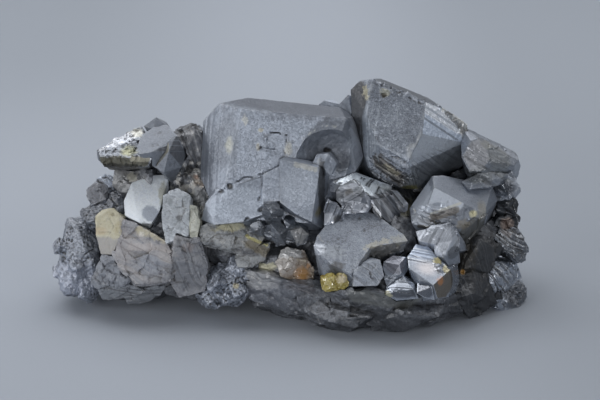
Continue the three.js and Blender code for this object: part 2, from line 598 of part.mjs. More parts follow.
// ---- joining, cutting and naming ----
const MATERIALS = {
  blende: { color: 0x7f8790, roughness: 0.62, metalness: 0.15 },
  bright: { color: 0xa6aeb8, roughness: 0.3, metalness: 0.6 },
  galena: { color: 0x6f757f, roughness: 0.35, metalness: 0.8 },
  spar: { color: 0x9b9a92, roughness: 0.55, metalness: 0 },
  amber: { color: 0x9a7a4a, roughness: 0.3, metalness: 0 },
  rock: { color: 0x55585c, roughness: 0.8, metalness: 0 },
};

// Named solids, from the one that keeps its whole shape to the one that gives way to all.
const LIST = [
  ['peak_crystal', 'blende', peakParts],
  ['block_crystal', 'blende', blockParts],
  ['wedge_crystal', 'blende', wedgeParts],
  ['front_crystal', 'blende', frontParts],
  ['bright_cluster', 'bright', brightParts],
  ['flank_crystals', 'blende', flankParts],
  ['end_knob', 'blende', endKnob],
  ['end_leaf', 'blende', endLeaf],
  ['end_ribbed', 'blende', endRibbed],
  ['crest_slab', 'bright', crestSlab],
  ['crest_lens', 'blende', crestLens],
  ['left_pale', 'bright', leftPale],
  ['left_dark', 'blende', leftDark],
  ['spar_yellow', 'spar', yellowSpar],
  ['galena_bank', 'galena', leftBank],
  ['spar_bulk', 'spar', sparBulk],
  ['spar_corner', 'spar', sparCorner],
  ['spar_keel', 'spar', sparKeel],
  ['spar_column', 'spar', sparColumn],
  ['spar_leaf', 'amber', sparLeaf],
  ['amber_crystal', 'amber', amberParts],
  ['yellow_crystals', 'amber', yellowParts],
  ['dark_crystals', 'blende', darkParts],
  ['spar_brow', 'spar', sparBrow],
  ['galena_striated', 'galena', galenaParts],
  ['galena_lump', 'galena', lumpParts],
  ['galena_patch', 'galena', patchParts],
  ['back_left', 'blende', backLeft],
  ['back_right', 'blende', backRight],
  ['back_middle', 'blende', backMiddle],
  ['back_low', 'blende', backLow],
  ['back_end', 'blende', backEnd],
  ['matrix_rock', 'rock', rockParts],
];

// The biggest connected piece of a solid.
function biggest(solid) {
  const pieces = solid.decompose();
  pieces.sort((a, b) => b.volume() - a.volume());
  return pieces[0];
}

const joined = LIST.map(([name, slot, parts]) => {
  const solid = wasm.Manifold.union(parts.map((p) => p.solid));
  const pocket = wasm.Manifold.union(parts.map((p) => p.pocket));
  return { name, slot, solid, pocket };
});
joined.forEach((item, index) => {
  for (const earlier of joined.slice(0, index)) {
    item.solid = item.solid.subtract(earlier.pocket);
  }
  item.solid = biggest(item.solid);
});

// The rock is worn flat at z = 0; the middle of the whole box goes over the origin.
let low = V(Infinity, Infinity, Infinity);
let high = V(-Infinity, -Infinity, -Infinity);
for (const item of joined) {
  const box = item.solid.boundingBox();
  low = low.min(V(...box.min));
  high = high.max(V(...box.max));
}
const shift = [-(low.x + high.x) / 2, -(low.y + high.y) / 2, 0];

// A three.js mesh of a manifold solid.
function toMesh(name, slot, solid) {
  const raw = solid.getMesh();
  const geometry = new THREE.BufferGeometry();
  const stride = raw.numProp;
  const count = raw.vertProperties.length / stride;
  const positions = new Float32Array(count * 3);
  for (let i = 0; i < count; i++) {
    positions.set(raw.vertProperties.subarray(i * stride, i * stride + 3), i * 3);
  }
  geometry.setAttribute('position', new THREE.BufferAttribute(positions, 3));
  geometry.setIndex(new THREE.BufferAttribute(new Uint32Array(raw.triVerts), 1));
  const flat = geometry.toNonIndexed();
  flat.computeVertexNormals();
  const mesh = new THREE.Mesh(flat, new THREE.MeshStandardMaterial(MATERIALS[slot]));
  mesh.name = name;
  return mesh;
}

const specimen = new THREE.Group();
specimen.name = 'sphalerite_specimen';
for (const item of joined) {
  const stood = item.solid.translate(shift).trimByPlane([0, 0, 1], 0).scale(SCALE);
  const tidy = biggest(stood).simplify(SIMPLIFY);
  specimen.add(toMesh(item.name, item.slot, biggest(tidy)));
}

export default specimen;
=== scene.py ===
"""Sphalerite specimen: skins over the solid crystals, their mineral finishes, the studio and the camera.

Lengths in the fields are millimetres; meshes are made in metres, in the frame of the solid model.
"""
from __future__ import annotations

import logging
import math
from dataclasses import dataclass
from enum import Enum
from typing import Any, Optional, Sequence, Union

import bmesh
import bpy
import numpy as np
from mathutils import Euler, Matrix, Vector


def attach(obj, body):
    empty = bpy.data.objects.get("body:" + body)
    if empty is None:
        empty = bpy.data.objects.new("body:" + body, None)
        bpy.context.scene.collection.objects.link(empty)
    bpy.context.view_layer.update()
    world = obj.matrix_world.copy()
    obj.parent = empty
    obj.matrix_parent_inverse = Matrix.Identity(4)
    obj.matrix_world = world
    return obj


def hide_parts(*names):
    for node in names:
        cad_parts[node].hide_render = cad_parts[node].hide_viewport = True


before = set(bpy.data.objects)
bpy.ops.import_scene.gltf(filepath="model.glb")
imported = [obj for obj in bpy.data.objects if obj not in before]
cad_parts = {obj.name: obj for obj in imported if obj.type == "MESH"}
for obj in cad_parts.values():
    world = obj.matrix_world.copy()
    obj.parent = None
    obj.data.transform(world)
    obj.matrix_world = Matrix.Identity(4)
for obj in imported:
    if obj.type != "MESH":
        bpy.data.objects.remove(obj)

LOG = logging.getLogger("specimen")
MM = 0.001
MIXERS = (73856093, 19349663, 83492791)
SEED_MIXER, CHANNEL_MIXER = 2654435761, 40503
FIRST_STIR, LAST_STIR = 2246822519, 3266489917
LOW_32, LOW_24 = 0xFFFFFFFF, 0xFFFFFF
Array = np.ndarray
Vec = tuple[float, float, float]
Colour = tuple[float, float, float]
Screen = tuple[int, int, int]
Socket = bpy.types.NodeSocket


def tint(red: float, green: float, blue: float, gain: float = 1.0) -> Colour:
    """Linear colour from three screen values.

    Args:
        red, green, blue: Screen values, 0 to 255.
        gain: Multiplier on the linear result.

    Returns:
        Linear red, green and blue.
    """
    parts = np.array([red, green, blue]) / 255.0
    linear = np.where(parts <= 0.04045, parts / 12.92, ((parts + 0.055) / 1.055) ** 2.4) * gain
    return tuple(float(x) for x in linear)


def unit(way: Vec) -> Vec:
    """The same direction with a length of one."""
    return tuple(float(x) for x in np.array(way) / np.linalg.norm(way))


# -------- fields worked out on whole arrays


def scrambled(cell: Array, seed: int, channel: int = 0) -> Array:
    """Repeatable random numbers: a cell's three whole numbers, times large odd ones, joined and stirred.

    Args:
        cell: Whole numbers, shape (..., 3).
        seed: Chooses the pattern.
        channel: Chooses an independent number for the same cell.

    Returns:
        Numbers from 0 to 1, one per cell.
    """
    c = cell.astype(np.int64)
    h = (c[..., 0] * MIXERS[0]) ^ (c[..., 1] * MIXERS[1]) ^ (c[..., 2] * MIXERS[2])
    h = (h ^ (seed * SEED_MIXER + channel * CHANNEL_MIXER)) & LOW_32
    h = ((h ^ (h >> 15)) * FIRST_STIR) & LOW_32
    h = ((h ^ (h >> 13)) * LAST_STIR) & LOW_32
    return ((h ^ (h >> 16)) & LOW_24) / float(LOW_24 + 1)


def eased(x: Array, low: float, high: float) -> Array:
    """Smooth ramp: 0 below low, 1 above high, 3t^2 - 2t^3 between."""
    t = np.clip((x - low) / (high - low), 0.0, 1.0)
    return t * t * (3.0 - 2.0 * t)


def cloud(points: Array, size: float, seed: int) -> Array:
    """Soft lumps: random values at the corners of a cubic lattice, eased between corners.

    Args:
        points: Places in mm, shape (n, 3).
        size: Lattice pitch in mm.
        seed: Chooses the pattern.

    Returns:
        Values from -1 to 1.
    """
    q = points / size
    base = np.floor(q)
    f = q - base
    f = f * f * (3.0 - 2.0 * f)
    total = np.zeros(len(points))
    for corner in np.ndindex(2, 2, 2):
        side = np.array(corner)
        weight = np.prod(np.where(side == 1, f, 1.0 - f), axis=1)
        total += weight * scrambled(base + side, seed)
    return 2.0 * total - 1.0


def clouds(points: Array, size: float, seed: int, octaves: int = 4, fall: float = 0.5) -> Array:
    """Sum of clouds, each half the size of the one before and weaker by the factor fall.

    Args:
        points, size, seed: As for cloud; the size is that of the first one.
        octaves: Number of clouds.
        fall: Weight of each against the one before.

    Returns:
        Values from -1 to 1.
    """
    total = np.zeros(len(points))
    weight, norm = 1.0, 0.0
    for k in range(octaves):
        total += weight * cloud(points + 17.3 * k, size / 2**k, seed + k)
        norm += weight
        weight *= fall
    return total / norm


def nearest_seed(points: Array, size: float, seed: int) -> tuple[Array, Array, Array, Array]:
    """The nearest of one random seed point per lattice cell, looked for in the 27 cells around each place.

    Args:
        points: Places in mm, shape (n, 3).
        size: Lattice pitch in mm.
        seed: Chooses the pattern.

    Returns:
        Vector from the nearest seed point in pitches, its cell, and the distances to it and to the next.
    """
    q = points / size
    base = np.floor(q)
    first = np.full(len(q), 9.0)
    second = np.full(len(q), 9.0)
    offset = np.zeros_like(q)
    owner = np.zeros_like(q)
    for step in np.ndindex(3, 3, 3):
        cell = base + np.array(step) - 1.0
        place = cell + np.stack([scrambled(cell, seed, k) for k in range(3)], axis=1)
        away = q - place
        distance = np.sqrt((away**2).sum(axis=1))
        closer = distance < first
        second = np.where(closer, first, np.minimum(second, distance))
        first = np.where(closer, distance, first)
        offset[closer] = away[closer]
        owner[closer] = cell[closer]
    return offset, owner, first, second


# -------- where a relief or a colour applies


@dataclass(frozen=True)
class Region:
    """An ellipsoid with a soft edge, and, if asked, only the faces that look one way.

    Args:
        at, size: Centre and half lengths in mm.
        soft: Share of the half length over which it fades.
        facing: Direction of the faces it keeps to.
        turn: Degrees off that direction at which it ends.
        to: If given, the region is drawn out along a straight rod from its centre to this place.
    """

    at: Vec = (0.0, 0.0, 0.0)
    size: Vec = (500.0, 500.0, 500.0)
    soft: float = 0.35
    facing: Optional[Vec] = None
    turn: float = 28.0
    to: Optional[Vec] = None

    def mask(self, points: Array, normals: Array) -> Array:
        """One minus the scaled distance from the centre or rod, eased.

        Args:
            points, normals: Places in mm and the directions of the surface there, shape (n, 3).

        Returns:
            1 inside, 0 outside, one number per place.
        """
        offset = points - np.array(self.at)
        if self.to is not None:
            rod = np.array(self.to) - np.array(self.at)
            offset = offset - np.clip(offset @ rod / (rod @ rod), 0.0, 1.0)[:, None] * rod
        reach = np.sqrt(((offset / np.array(self.size)) ** 2).sum(axis=1))
        mask = eased(1.0 - reach, 0.0, self.soft)
        if self.facing is not None:
            limit = math.cos(math.radians(self.turn))
            mask = mask * eased(normals @ unit(self.facing), limit, limit + 0.5 * (1.0 - limit))
        return mask


EVERYWHERE = Region()
RISER = 0.8  # a tread or strip is level up to here, and the rest of it leads to the next one


class Leaves(Enum):
    """What a relief leaves behind for the finish to colour."""

    NOTHING = "nothing"
    CRUST = "crust"
    STAIN = "stain"


@dataclass(frozen=True)
class Relief:
    """One change of height along the surface's own normal, in mm. Each kind gives its own shape()."""

    depth: float = 0.1
    seed: int = 1
    where: Region = EVERYWHERE
    leaves: Leaves = Leaves.NOTHING

    def shape(self, points: Array, normals: Array) -> Array:
        """Height before the depth and the region are applied; each kind of relief says how it is worked out.

        Args:
            points, normals: Places in mm and the directions of the surface there, shape (n, 3).

        Returns:
            Numbers from about -1 to 1, one per place.
        """
        raise NotImplementedError

    def held(self, points: Array, normals: Array) -> Array:
        """Shape times region mask."""
        return self.shape(points, normals) * self.where.mask(points, normals)


@dataclass(frozen=True)
class Grit(Relief):
    """Grainy roughness: a sum of clouds."""

    size: float = 1.0
    octaves: int = 3

    def shape(self, points: Array, normals: Array) -> Array:
        """Clouds of the given size."""
        return clouds(points, self.size, self.seed, self.octaves, 0.6)


@dataclass(frozen=True)
class Shards(Relief):
    """Broken, angular surface: every cell of a random pattern is a plane with its own tilt and level."""

    size: float = 3.0
    tilt: float = 1.0

    def shape(self, points: Array, normals: Array) -> Array:
        """Offset from the cell's seed point, times the cell's random direction, plus its random level."""
        offset, owner, _, _ = nearest_seed(points, self.size, self.seed)
        way = np.stack([scrambled(owner, self.seed, 5 + k) for k in range(3)], axis=1) - 0.5
        return self.tilt * 2.0 * (offset * way).sum(axis=1) + scrambled(owner, self.seed, 9) - 0.5


@dataclass(frozen=True)
class Terraces(Relief):
    """Growth terraces: the level of a broad cloud, cut into flat treads with short risers."""

    size: float = 8.0
    steps: float = 4.0
    rough: float = 0.12

    def shape(self, points: Array, normals: Array) -> Array:
        """Whole part of the scaled cloud plus an eased riser."""
        level = clouds(points, self.size, self.seed, 3, 0.45)
        level = (level + self.rough * cloud(points, 0.9, self.seed + 31)) * self.steps
        whole = np.floor(level)
        return (whole + eased(level - whole, RISER, 1.0)) / self.steps


@dataclass(frozen=True)
class Striae(Relief):
    """Parallel growth lines: strips of uneven width across one direction, each at its own random level."""

    across: Vec = (0.0, 0.0, 1.0)
    pitch: float = 0.9
    waver: float = 0.25
    lean: float = 0.0

    def strip(self, place: Array, number: Array) -> Array:
        """Height of one strip: its random level plus its random lean times the place across it.

        Args:
            place: Distance across the strips, in pitches.
            number: Number of the strip that is asked for, at each place.

        Returns:
            One height per place.
        """
        flat = np.zeros((len(place), 3))
        flat[:, 0] = number
        level = 2.0 * scrambled(flat, self.seed) - 1.0
        lean = self.lean * (2.0 * scrambled(flat, self.seed, 3) - 1.0)
        return level + lean * (place - number - 0.5)

    def shape(self, points: Array, normals: Array) -> Array:
        """Height of the strip that the place lies in, eased into the next strip."""
        place = points @ unit(self.across) / self.pitch + self.waver * cloud(points, 6.0, self.seed + 7)
        number = np.floor(place)
        blend = eased(place - number, RISER, 1.0)
        return self.strip(place, number) * (1.0 - blend) + self.strip(place, number + 1.0) * blend


@dataclass(frozen=True)
class Steps(Relief):
    """Cleavage steps: a turned lattice of square blocks, each at its own random level."""

    size: float = 1.5
    turn: Vec = (0.4, 0.3, 0.2)

    def shape(self, points: Array, normals: Array) -> Array:
        """Random level of the block that the place lies in, the lattice turned by three angles in radians."""
        lattice = points @ np.array(Euler(self.turn).to_matrix()) / self.size
        return 2.0 * scrambled(np.floor(lattice), self.seed) - 1.0


@dataclass(frozen=True)
class Pits(Relief):
    """Small pits: round dips at some of the seed points of a random pattern."""

    size: float = 1.6
    share: float = 0.4
    width: float = 0.45

    def shape(self, points: Array, normals: Array) -> Array:
        """Minus one at a chosen seed point, easing to nothing at the pit's width."""
        _, owner, first, _ = nearest_seed(points, self.size, self.seed)
        chosen = scrambled(owner, self.seed, 6) < self.share
        wide = self.width * (0.5 + scrambled(owner, self.seed, 7))
        return -np.where(chosen, 1.0 - eased(first / wide, 0.3, 1.0), 0.0)


@dataclass(frozen=True)
class Dent(Relief):
    """One ragged hollow."""

    at: Vec = (0.0, 0.0, 0.0)
    radius: float = 1.0

    def shape(self, points: Array, normals: Array) -> Array:
        """Minus an eased ball around the centre, its edge moved by a cloud."""
        distance = np.sqrt(((points - np.array(self.at)) ** 2).sum(axis=1)) / self.radius
        return -(1.0 - eased(distance + 0.3 * cloud(points, 0.8, self.seed), 0.35, 1.1))


@dataclass(frozen=True)
class Crack(Relief):
    """A ragged crack along straight stretches between points; a raised line if the depth is below 0."""

    route: tuple[Vec, ...] = ()
    width: float = 0.4
    ragged: float = 0.35

    def shape(self, points: Array, normals: Array) -> Array:
        """Minus an eased ridge of the distance to the nearest stretch."""
        moved = points + self.ragged * np.stack([cloud(points, 1.4, self.seed + k) for k in range(3)], axis=1)
        nearest = np.full(len(points), 1e3)
        for start, end in zip(self.route[:-1], self.route[1:]):
            a, b = np.array(start), np.array(end)
            along = np.clip((moved - a) @ (b - a) / ((b - a) @ (b - a)), 0.0, 1.0)
            nearest = np.minimum(nearest, np.linalg.norm(moved - a - along[:, None] * (b - a), axis=1))
        return -(1.0 - eased(nearest / self.width, 0.2, 1.0))


@dataclass(frozen=True)
class Ribs(Relief):
    """Shell-like ribs of a curved break: rings around a centre, with a steep and a gentle side."""

    centre: Vec = (0.0, 0.0, 0.0)
    pitch: float = 2.0

    def shape(self, points: Array, normals: Array) -> Array:
        """Falling saw of the distance from the centre, wavered by a cloud."""
        ring = np.linalg.norm(points - np.array(self.centre), axis=1) / self.pitch
        ring = ring + 0.35 * cloud(points, 4.0, self.seed)
        part = ring - np.floor(ring)
        gentle, steep = 1.0 - 2.0 * part / RISER, -1.0 + 2.0 * (part - RISER) / 0.2
        return np.where(part < RISER, gentle, steep)


# -------- skins


def neighbour_mean(values: Array, edges: Array, count: int) -> Array:
    """Mean of each vertex's neighbours along mesh edges.

    Args:
        values: One row per vertex.
        edges: Vertex pairs, shape (m, 2).
        count: Number of vertices.

    Returns:
        Array like values.
    """
    a, b = edges[:, 0], edges[:, 1]
    share = np.bincount(a, minlength=count) + np.bincount(b, minlength=count)
    share = np.maximum(share, 1)[:, None]
    total = np.stack(
        [
            np.bincount(a, weights=values[b, k], minlength=count)
            + np.bincount(b, weights=values[a, k], minlength=count)
            for k in range(values.shape[1])
        ],
        axis=1,
    )
    return total / share


BEND_GAIN = 9.0  # how strongly a bend of the surface marks it as an edge or a hollow
SHARP_ANGLE = 26.0  # degrees between faces from which a crisp edge is kept


@dataclass
class Skin:
    """A finer surface over one solid: its mesh is copied, merged, cut into even cells and given its reliefs.

    Args:
        node: Name of the solid it stands for.
        cell: Size of the even cells in mm.
        reliefs: Changes of height, added together.
        crisp: Keeps the sharp edges between faces.
        grow: Even growth outwards in mm, which closes the seams between neighbours.
    """

    node: str
    cell: float
    reliefs: Sequence[Relief] = ()
    crisp: bool = True
    grow: float = 0.1

    def even_mesh(self) -> bpy.types.Mesh:
        """Copy of the solid's mesh, merged and rebuilt from even cells.

        Returns:
            The new mesh.
        """
        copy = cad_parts[self.node].data.copy()
        shape = bmesh.new()
        shape.from_mesh(copy)
        bmesh.ops.remove_doubles(shape, verts=shape.verts, dist=1e-6)
        shape.to_mesh(copy)
        shape.free()
        carrier = bpy.data.objects.new("carrier", copy)
        bpy.context.scene.collection.objects.link(carrier)
        cells = carrier.modifiers.new("cells", "REMESH")
        if self.crisp:
            depth = math.ceil(math.log2(max(carrier.dimensions) / (0.98 * self.cell * MM)))
            cells.mode = "SHARP"
            cells.octree_depth = depth
            cells.scale = max(carrier.dimensions) / (self.cell * MM * 2**depth)
            cells.use_remove_disconnected = False
        else:
            cells.mode = "VOXEL"
            cells.voxel_size = self.cell * MM
            cells.adaptivity = 0.0
        ready = carrier.evaluated_get(bpy.context.evaluated_depsgraph_get())
        mesh = bpy.data.meshes.new_from_object(ready)
        bpy.data.objects.remove(carrier)
        bpy.data.meshes.remove(copy)
        return mesh

    @staticmethod
    def measured(mesh: bpy.types.Mesh) -> tuple[Array, Array, Array]:
        """A mesh read as whole arrays.

        Args:
            mesh: The mesh.

        Returns:
            Places in mm, directions, and the two ends of every edge.
        """
        points = np.empty(len(mesh.vertices) * 3, np.float32)
        mesh.vertices.foreach_get("co", points)
        normals = np.empty(len(mesh.vertices) * 3, np.float32)
        mesh.vertex_normals.foreach_get("vector", normals)
        edges = np.empty(len(mesh.edges) * 2, np.int32)
        mesh.edges.foreach_get("vertices", edges)
        places = points.reshape(-1, 3).astype(float) / MM
        return places, normals.reshape(-1, 3).astype(float), edges.reshape(-1, 2)

    def heights(self, points: Array, normals: Array) -> tuple[Array, dict[Leaves, Array]]:
        """Sum of the growth and of every relief.

        Args:
            points: Places in mm.
            normals: Directions of the surface there.

        Returns:
            Height in mm, and the crust and stain that the reliefs leave.
        """
        height = np.full(len(points), self.grow)
        marks = {Leaves.CRUST: np.zeros(len(points)), Leaves.STAIN: np.zeros(len(points))}
        for relief in self.reliefs:
            held = relief.held(points, normals)
            height += relief.depth * held
            if relief.leaves in marks:
                marks[relief.leaves] = np.maximum(marks[relief.leaves], np.abs(held))
        return height, marks

    def build(self) -> bpy.types.Object:
        """Makes the piece. The height of every relief is added along the facet's normal.

        These values are kept on the vertices: edge and hollow (how far the surface bends out or in), relief
        (height in mm), what the reliefs leave (crust and stain) and facet (the normal under the reliefs).

        Returns:
            The new object, riding on the root body.
        """
        mesh = self.even_mesh()
        points, normals, edges = self.measured(mesh)
        count = len(points)
        height, marks = self.heights(points, normals)
        shaped = points + normals * height[:, None]
        shaped[:, 2] = np.maximum(shaped[:, 2], 0.0)
        bend = ((shaped - neighbour_mean(shaped, edges, count)) * normals).sum(axis=1)[:, None] / self.cell
        for _ in range(2):
            bend = 0.4 * bend + 0.6 * neighbour_mean(bend, edges, count)
        mesh.vertices.foreach_set("co", (shaped * MM).astype(np.float32).ravel())
        self.keep(mesh, "edge", np.clip(bend[:, 0] * BEND_GAIN, 0.0, 1.0))
        self.keep(mesh, "hollow", np.clip(-bend[:, 0] * BEND_GAIN, 0.0, 1.0))
        self.keep(mesh, "relief", height - self.grow)
        for kind, mark in marks.items():
            self.keep(mesh, kind.value, mark)
        facet = mesh.attributes.new("facet", "FLOAT_VECTOR", "POINT")
        facet.data.foreach_set("vector", normals.astype(np.float32).ravel())
        mesh.polygons.foreach_set("use_smooth", np.ones(len(mesh.polygons), bool))
        if self.crisp:
            mesh.set_sharp_from_angle(angle=math.radians(SHARP_ANGLE))
        mesh.update()
        piece = bpy.data.objects.new(self.node + "_skin", mesh)
        mesh.name = piece.name
        bpy.context.scene.collection.objects.link(piece)
        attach(piece, "root")
        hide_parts(self.node)
        return piece

    @staticmethod
    def keep(mesh: bpy.types.Mesh, name: str, values: Array) -> None:
        """Stores one number per vertex under a name that the finish reads."""
        mesh.attributes.new(name, "FLOAT", "POINT").data.foreach_set("value", values.astype(np.float32))


# -------- shader maths


Number = Union["Val", float]


class Val:
    """A shader value that can be used in ordinary sums: every operator adds its Math node."""

    def __init__(self, shader: "Shader", socket: Socket) -> None:
        """Wraps an output socket."""
        self.shader = shader
        self.socket = socket

    def _math(self, operation: str, first: Number, second: Number) -> "Val":
        """Adds one Math node and returns its result."""
        node = self.shader.node("ShaderNodeMath", {"operation": operation}, {0: first, 1: second})
        return Val(self.shader, node.outputs[0])

    def __add__(self, other: Number) -> "Val":
        """Sum."""
        return self._math("ADD", self, other)

    __radd__ = __add__

    def __sub__(self, other: Number) -> "Val":
        """Difference."""
        return self._math("SUBTRACT", self, other)

    def __rsub__(self, other: Number) -> "Val":
        """Difference, the other way round."""
        return self._math("SUBTRACT", other, self)

    def __mul__(self, other: Number) -> "Val":
        """Product."""
        return self._math("MULTIPLY", self, other)

    __rmul__ = __mul__

    def __truediv__(self, other: Number) -> "Val":
        """Quotient."""
        return self._math("DIVIDE", self, other)

    def __rtruediv__(self, other: Number) -> "Val":
        """Quotient, the other way round."""
        return self._math("DIVIDE", other, self)

    def highest(self, other: Number) -> "Val":
        """The larger of the two."""
        return self._math("MAXIMUM", self, other)

    def lowest(self, other: Number) -> "Val":
        """The smaller of the two."""
        return self._math("MINIMUM", self, other)

    def ramp(self, low: float, high: float) -> "Val":
        """Eased step.

        Args:
            low, high: Where it leaves 0 and where it reaches 1.

        Returns:
            The step.
        """
        values = {0: self, 1: low, 2: high, 3: 0.0, 4: 1.0}
        node = self.shader.node("ShaderNodeMapRange", {"interpolation_type": "SMOOTHSTEP"}, values)
        return Val(self.shader, node.outputs[0])


class Shader:
    """Builds one material. Places are read from Object coordinates and handed on in mm."""

    def __init__(self, name: str) -> None:
        """Starts a material with a Principled shader.

        Args:
            name: Name of the material.
        """
        self.material = bpy.data.materials.new(name)
        self.material.use_nodes = True
        self.tree = self.material.node_tree
        self.surface = self.tree.nodes["Principled BSDF"]
        coordinates = self.node("ShaderNodeTexCoord")
        self.place = self.vector("SCALE", coordinates.outputs["Object"], scale=1000.0)

    def node(
        self, kind: str, settings: Optional[dict[str, Any]] = None, values: Optional[dict[Any, Any]] = None
    ) -> bpy.types.Node:
        """Adds one node.

        Args:
            kind: Type of node.
            settings: Its settings, set first.
            values: Numbers, colours or links for its sockets, by name or place.

        Returns:
            The node.
        """
        node = self.tree.nodes.new(kind)
        for key, value in (settings or {}).items():
            setattr(node, key, value)
        for key, value in (values or {}).items():
            self.feed(node.inputs[key], value)
        return node

    def feed(self, socket: Socket, value: Any) -> None:
        """Links or sets one input socket.

        Args:
            socket: The input.
            value: A shader value or an output to link, or else a number, a vector or a colour.
        """
        if isinstance(value, Val):
            self.tree.links.new(value.socket, socket)
        elif isinstance(value, Socket):
            self.tree.links.new(value, socket)
        elif isinstance(value, (tuple, list)) and len(value) == 3 and socket.type == "RGBA":
            socket.default_value = (*value, 1.0)
        else:
            socket.default_value = value

    def combined(self, operation: str, first: Any, second: Any = None, scale: Any = None) -> bpy.types.Node:
        """Adds one Vector Math node.

        Args:
            operation: Blender's name for it.
            first, second: The vectors; some operations need only one.
            scale: Factor, for the operation SCALE.

        Returns:
            The node.
        """
        given = {0: first, 1: second, "Scale": scale}
        values = {key: value for key, value in given.items() if value is not None}
        return self.node("ShaderNodeVectorMath", {"operation": operation}, values)

    def vector(self, operation: str, *given: Any, **scale: Any) -> Socket:
        """The vector that two vectors give when combined."""
        return self.combined(operation, *given, **scale).outputs["Vector"]

    def measure(self, operation: str, *given: Any) -> Val:
        """The number that they give, such as a length or a dot product."""
        return Val(self, self.combined(operation, *given).outputs["Value"])

    def noise(self, size: float, detail: float, seed: float, rough: float = 0.5) -> Val:
        """Cloudy value.

        Args:
            size: Size of its lumps in mm.
            detail, rough: Number of finer clouds on top, and their weight.
            seed: Moves the pattern.

        Returns:
            A value from 0 to 1.
        """
        place = self.vector("ADD", self.place, (seed * 13.7, seed * 7.1, seed * 3.3))
        values = {"Vector": place, "Scale": 1.0 / size, "Detail": detail, "Roughness": rough}
        return Val(self, self.node("ShaderNodeTexNoise", {}, values).outputs[0])

    def grains(self, size: float, seed: float, feature: str = "F1") -> tuple[Val, Socket]:
        """Random cells.

        Args:
            size: Their size in mm.
            seed: Moves the pattern.
            feature: What the distance is measured to: F1 is the seed point.

        Returns:
            The distance and the cell's random colour.
        """
        place = self.vector("ADD", self.place, (seed * 9.1, seed * 5.3, seed * 2.9))
        node = self.node("ShaderNodeTexVoronoi", {"feature": feature}, {"Vector": place, "Scale": 1.0 / size})
        return Val(self, node.outputs["Distance"]), node.outputs.get("Color") or node.outputs["Distance"]

    def kept(self, name: str) -> Val:
        """A value kept on the vertices."""
        return Val(self, self.node("ShaderNodeAttribute", {"attribute_name": name}).outputs["Fac"])

    def facet(self) -> Socket:
        """Direction of the flat facet under the reliefs."""
        return self.node("ShaderNodeAttribute", {"attribute_name": "facet"}).outputs["Vector"]

    def mix(self, share: Number, first: Any, second: Any) -> Socket:
        """Mixes two colours.

        Args:
            share: Share of the second one.
            first, second: The colours.

        Returns:
            The mix.
        """
        node = self.node("ShaderNodeMix", {"data_type": "RGBA"})
        self.feed(node.inputs[0], share)
        self.feed(node.inputs[6], first)
        self.feed(node.inputs[7], second)
        return node.outputs[2]

    def inside(self, region: Region, ragged: Val, raggedness: float = 0.5) -> Val:
        """Mask of a region: one minus the scaled distance, its edge moved by a cloudy value.

        Args:
            region: The region.
            ragged: The cloudy value.
            raggedness: How far it moves the edge.

        Returns:
            1 inside, 0 outside.
        """
        offset = self.vector("SUBTRACT", self.place, region.at)
        if region.to is not None:
            rod = np.array(region.to) - np.array(region.at)
            along = self.measure("DOT_PRODUCT", offset, tuple(float(x) for x in rod / (rod @ rod)))
            back = self.vector("SCALE", tuple(float(x) for x in rod), scale=along.highest(0.0).lowest(1.0))
            offset = self.vector("SUBTRACT", offset, back)
        reach = self.measure("LENGTH", self.vector("DIVIDE", offset, region.size))
        mask = (1.0 - reach + raggedness * (ragged - 0.5)).ramp(0.0, max(region.soft, 0.02))
        if region.facing is not None:
            limit = math.cos(math.radians(region.turn))
            turned = self.measure("DOT_PRODUCT", self.facet(), unit(region.facing))
            mask = mask * turned.ramp(limit, limit + 0.5 * (1.0 - limit))
        return mask


# -------- finishes


@dataclass(frozen=True)
class Patch:
    """A coloured patch on a finish.

    Args:
        where: Its region.
        colour: Screen values of its colour.
        strength: Share of the colour at its middle.
        ragged: How uneven its border is.
        rough: Change of roughness inside.
    """

    where: Region
    colour: Screen
    strength: float = 0.8
    ragged: float = 0.7
    rough: float = 0.0


def spot(
    at: Vec,
    size: Vec,
    soft: float,
    colour: Screen,
    strength: float = 0.8,
    ragged: float = 0.7,
    rough: float = 0.0,
    **more: Any,
) -> Patch:
    """A patch with a region of its own.

    Args:
        at, size, soft, more: The fields of the region.
        colour, strength, ragged, rough: The fields of the patch.

    Returns:
        The patch.
    """
    return Patch(Region(at, size, soft, **more), colour, strength, ragged, rough)


@dataclass(frozen=True)
class Lines:
    """Fine parallel lines painted and pressed into one region.

    Args:
        where: Its region.
        across: Direction across the lines.
        pitch: Usual distance between them in mm.
        colour: Screen values of their colour.
        strength: Share of the colour on a line.
        depth: How deep they are pressed in, in mm; raised if below 0.
        cover: From 0 to 1, how many there are and how wide.
        waver: How far they stray from straight, in pitches.
    """

    where: Region
    across: Vec
    pitch: float
    colour: Screen
    strength: float = 0.6
    depth: float = 0.03
    cover: float = 0.5
    waver: float = 0.6


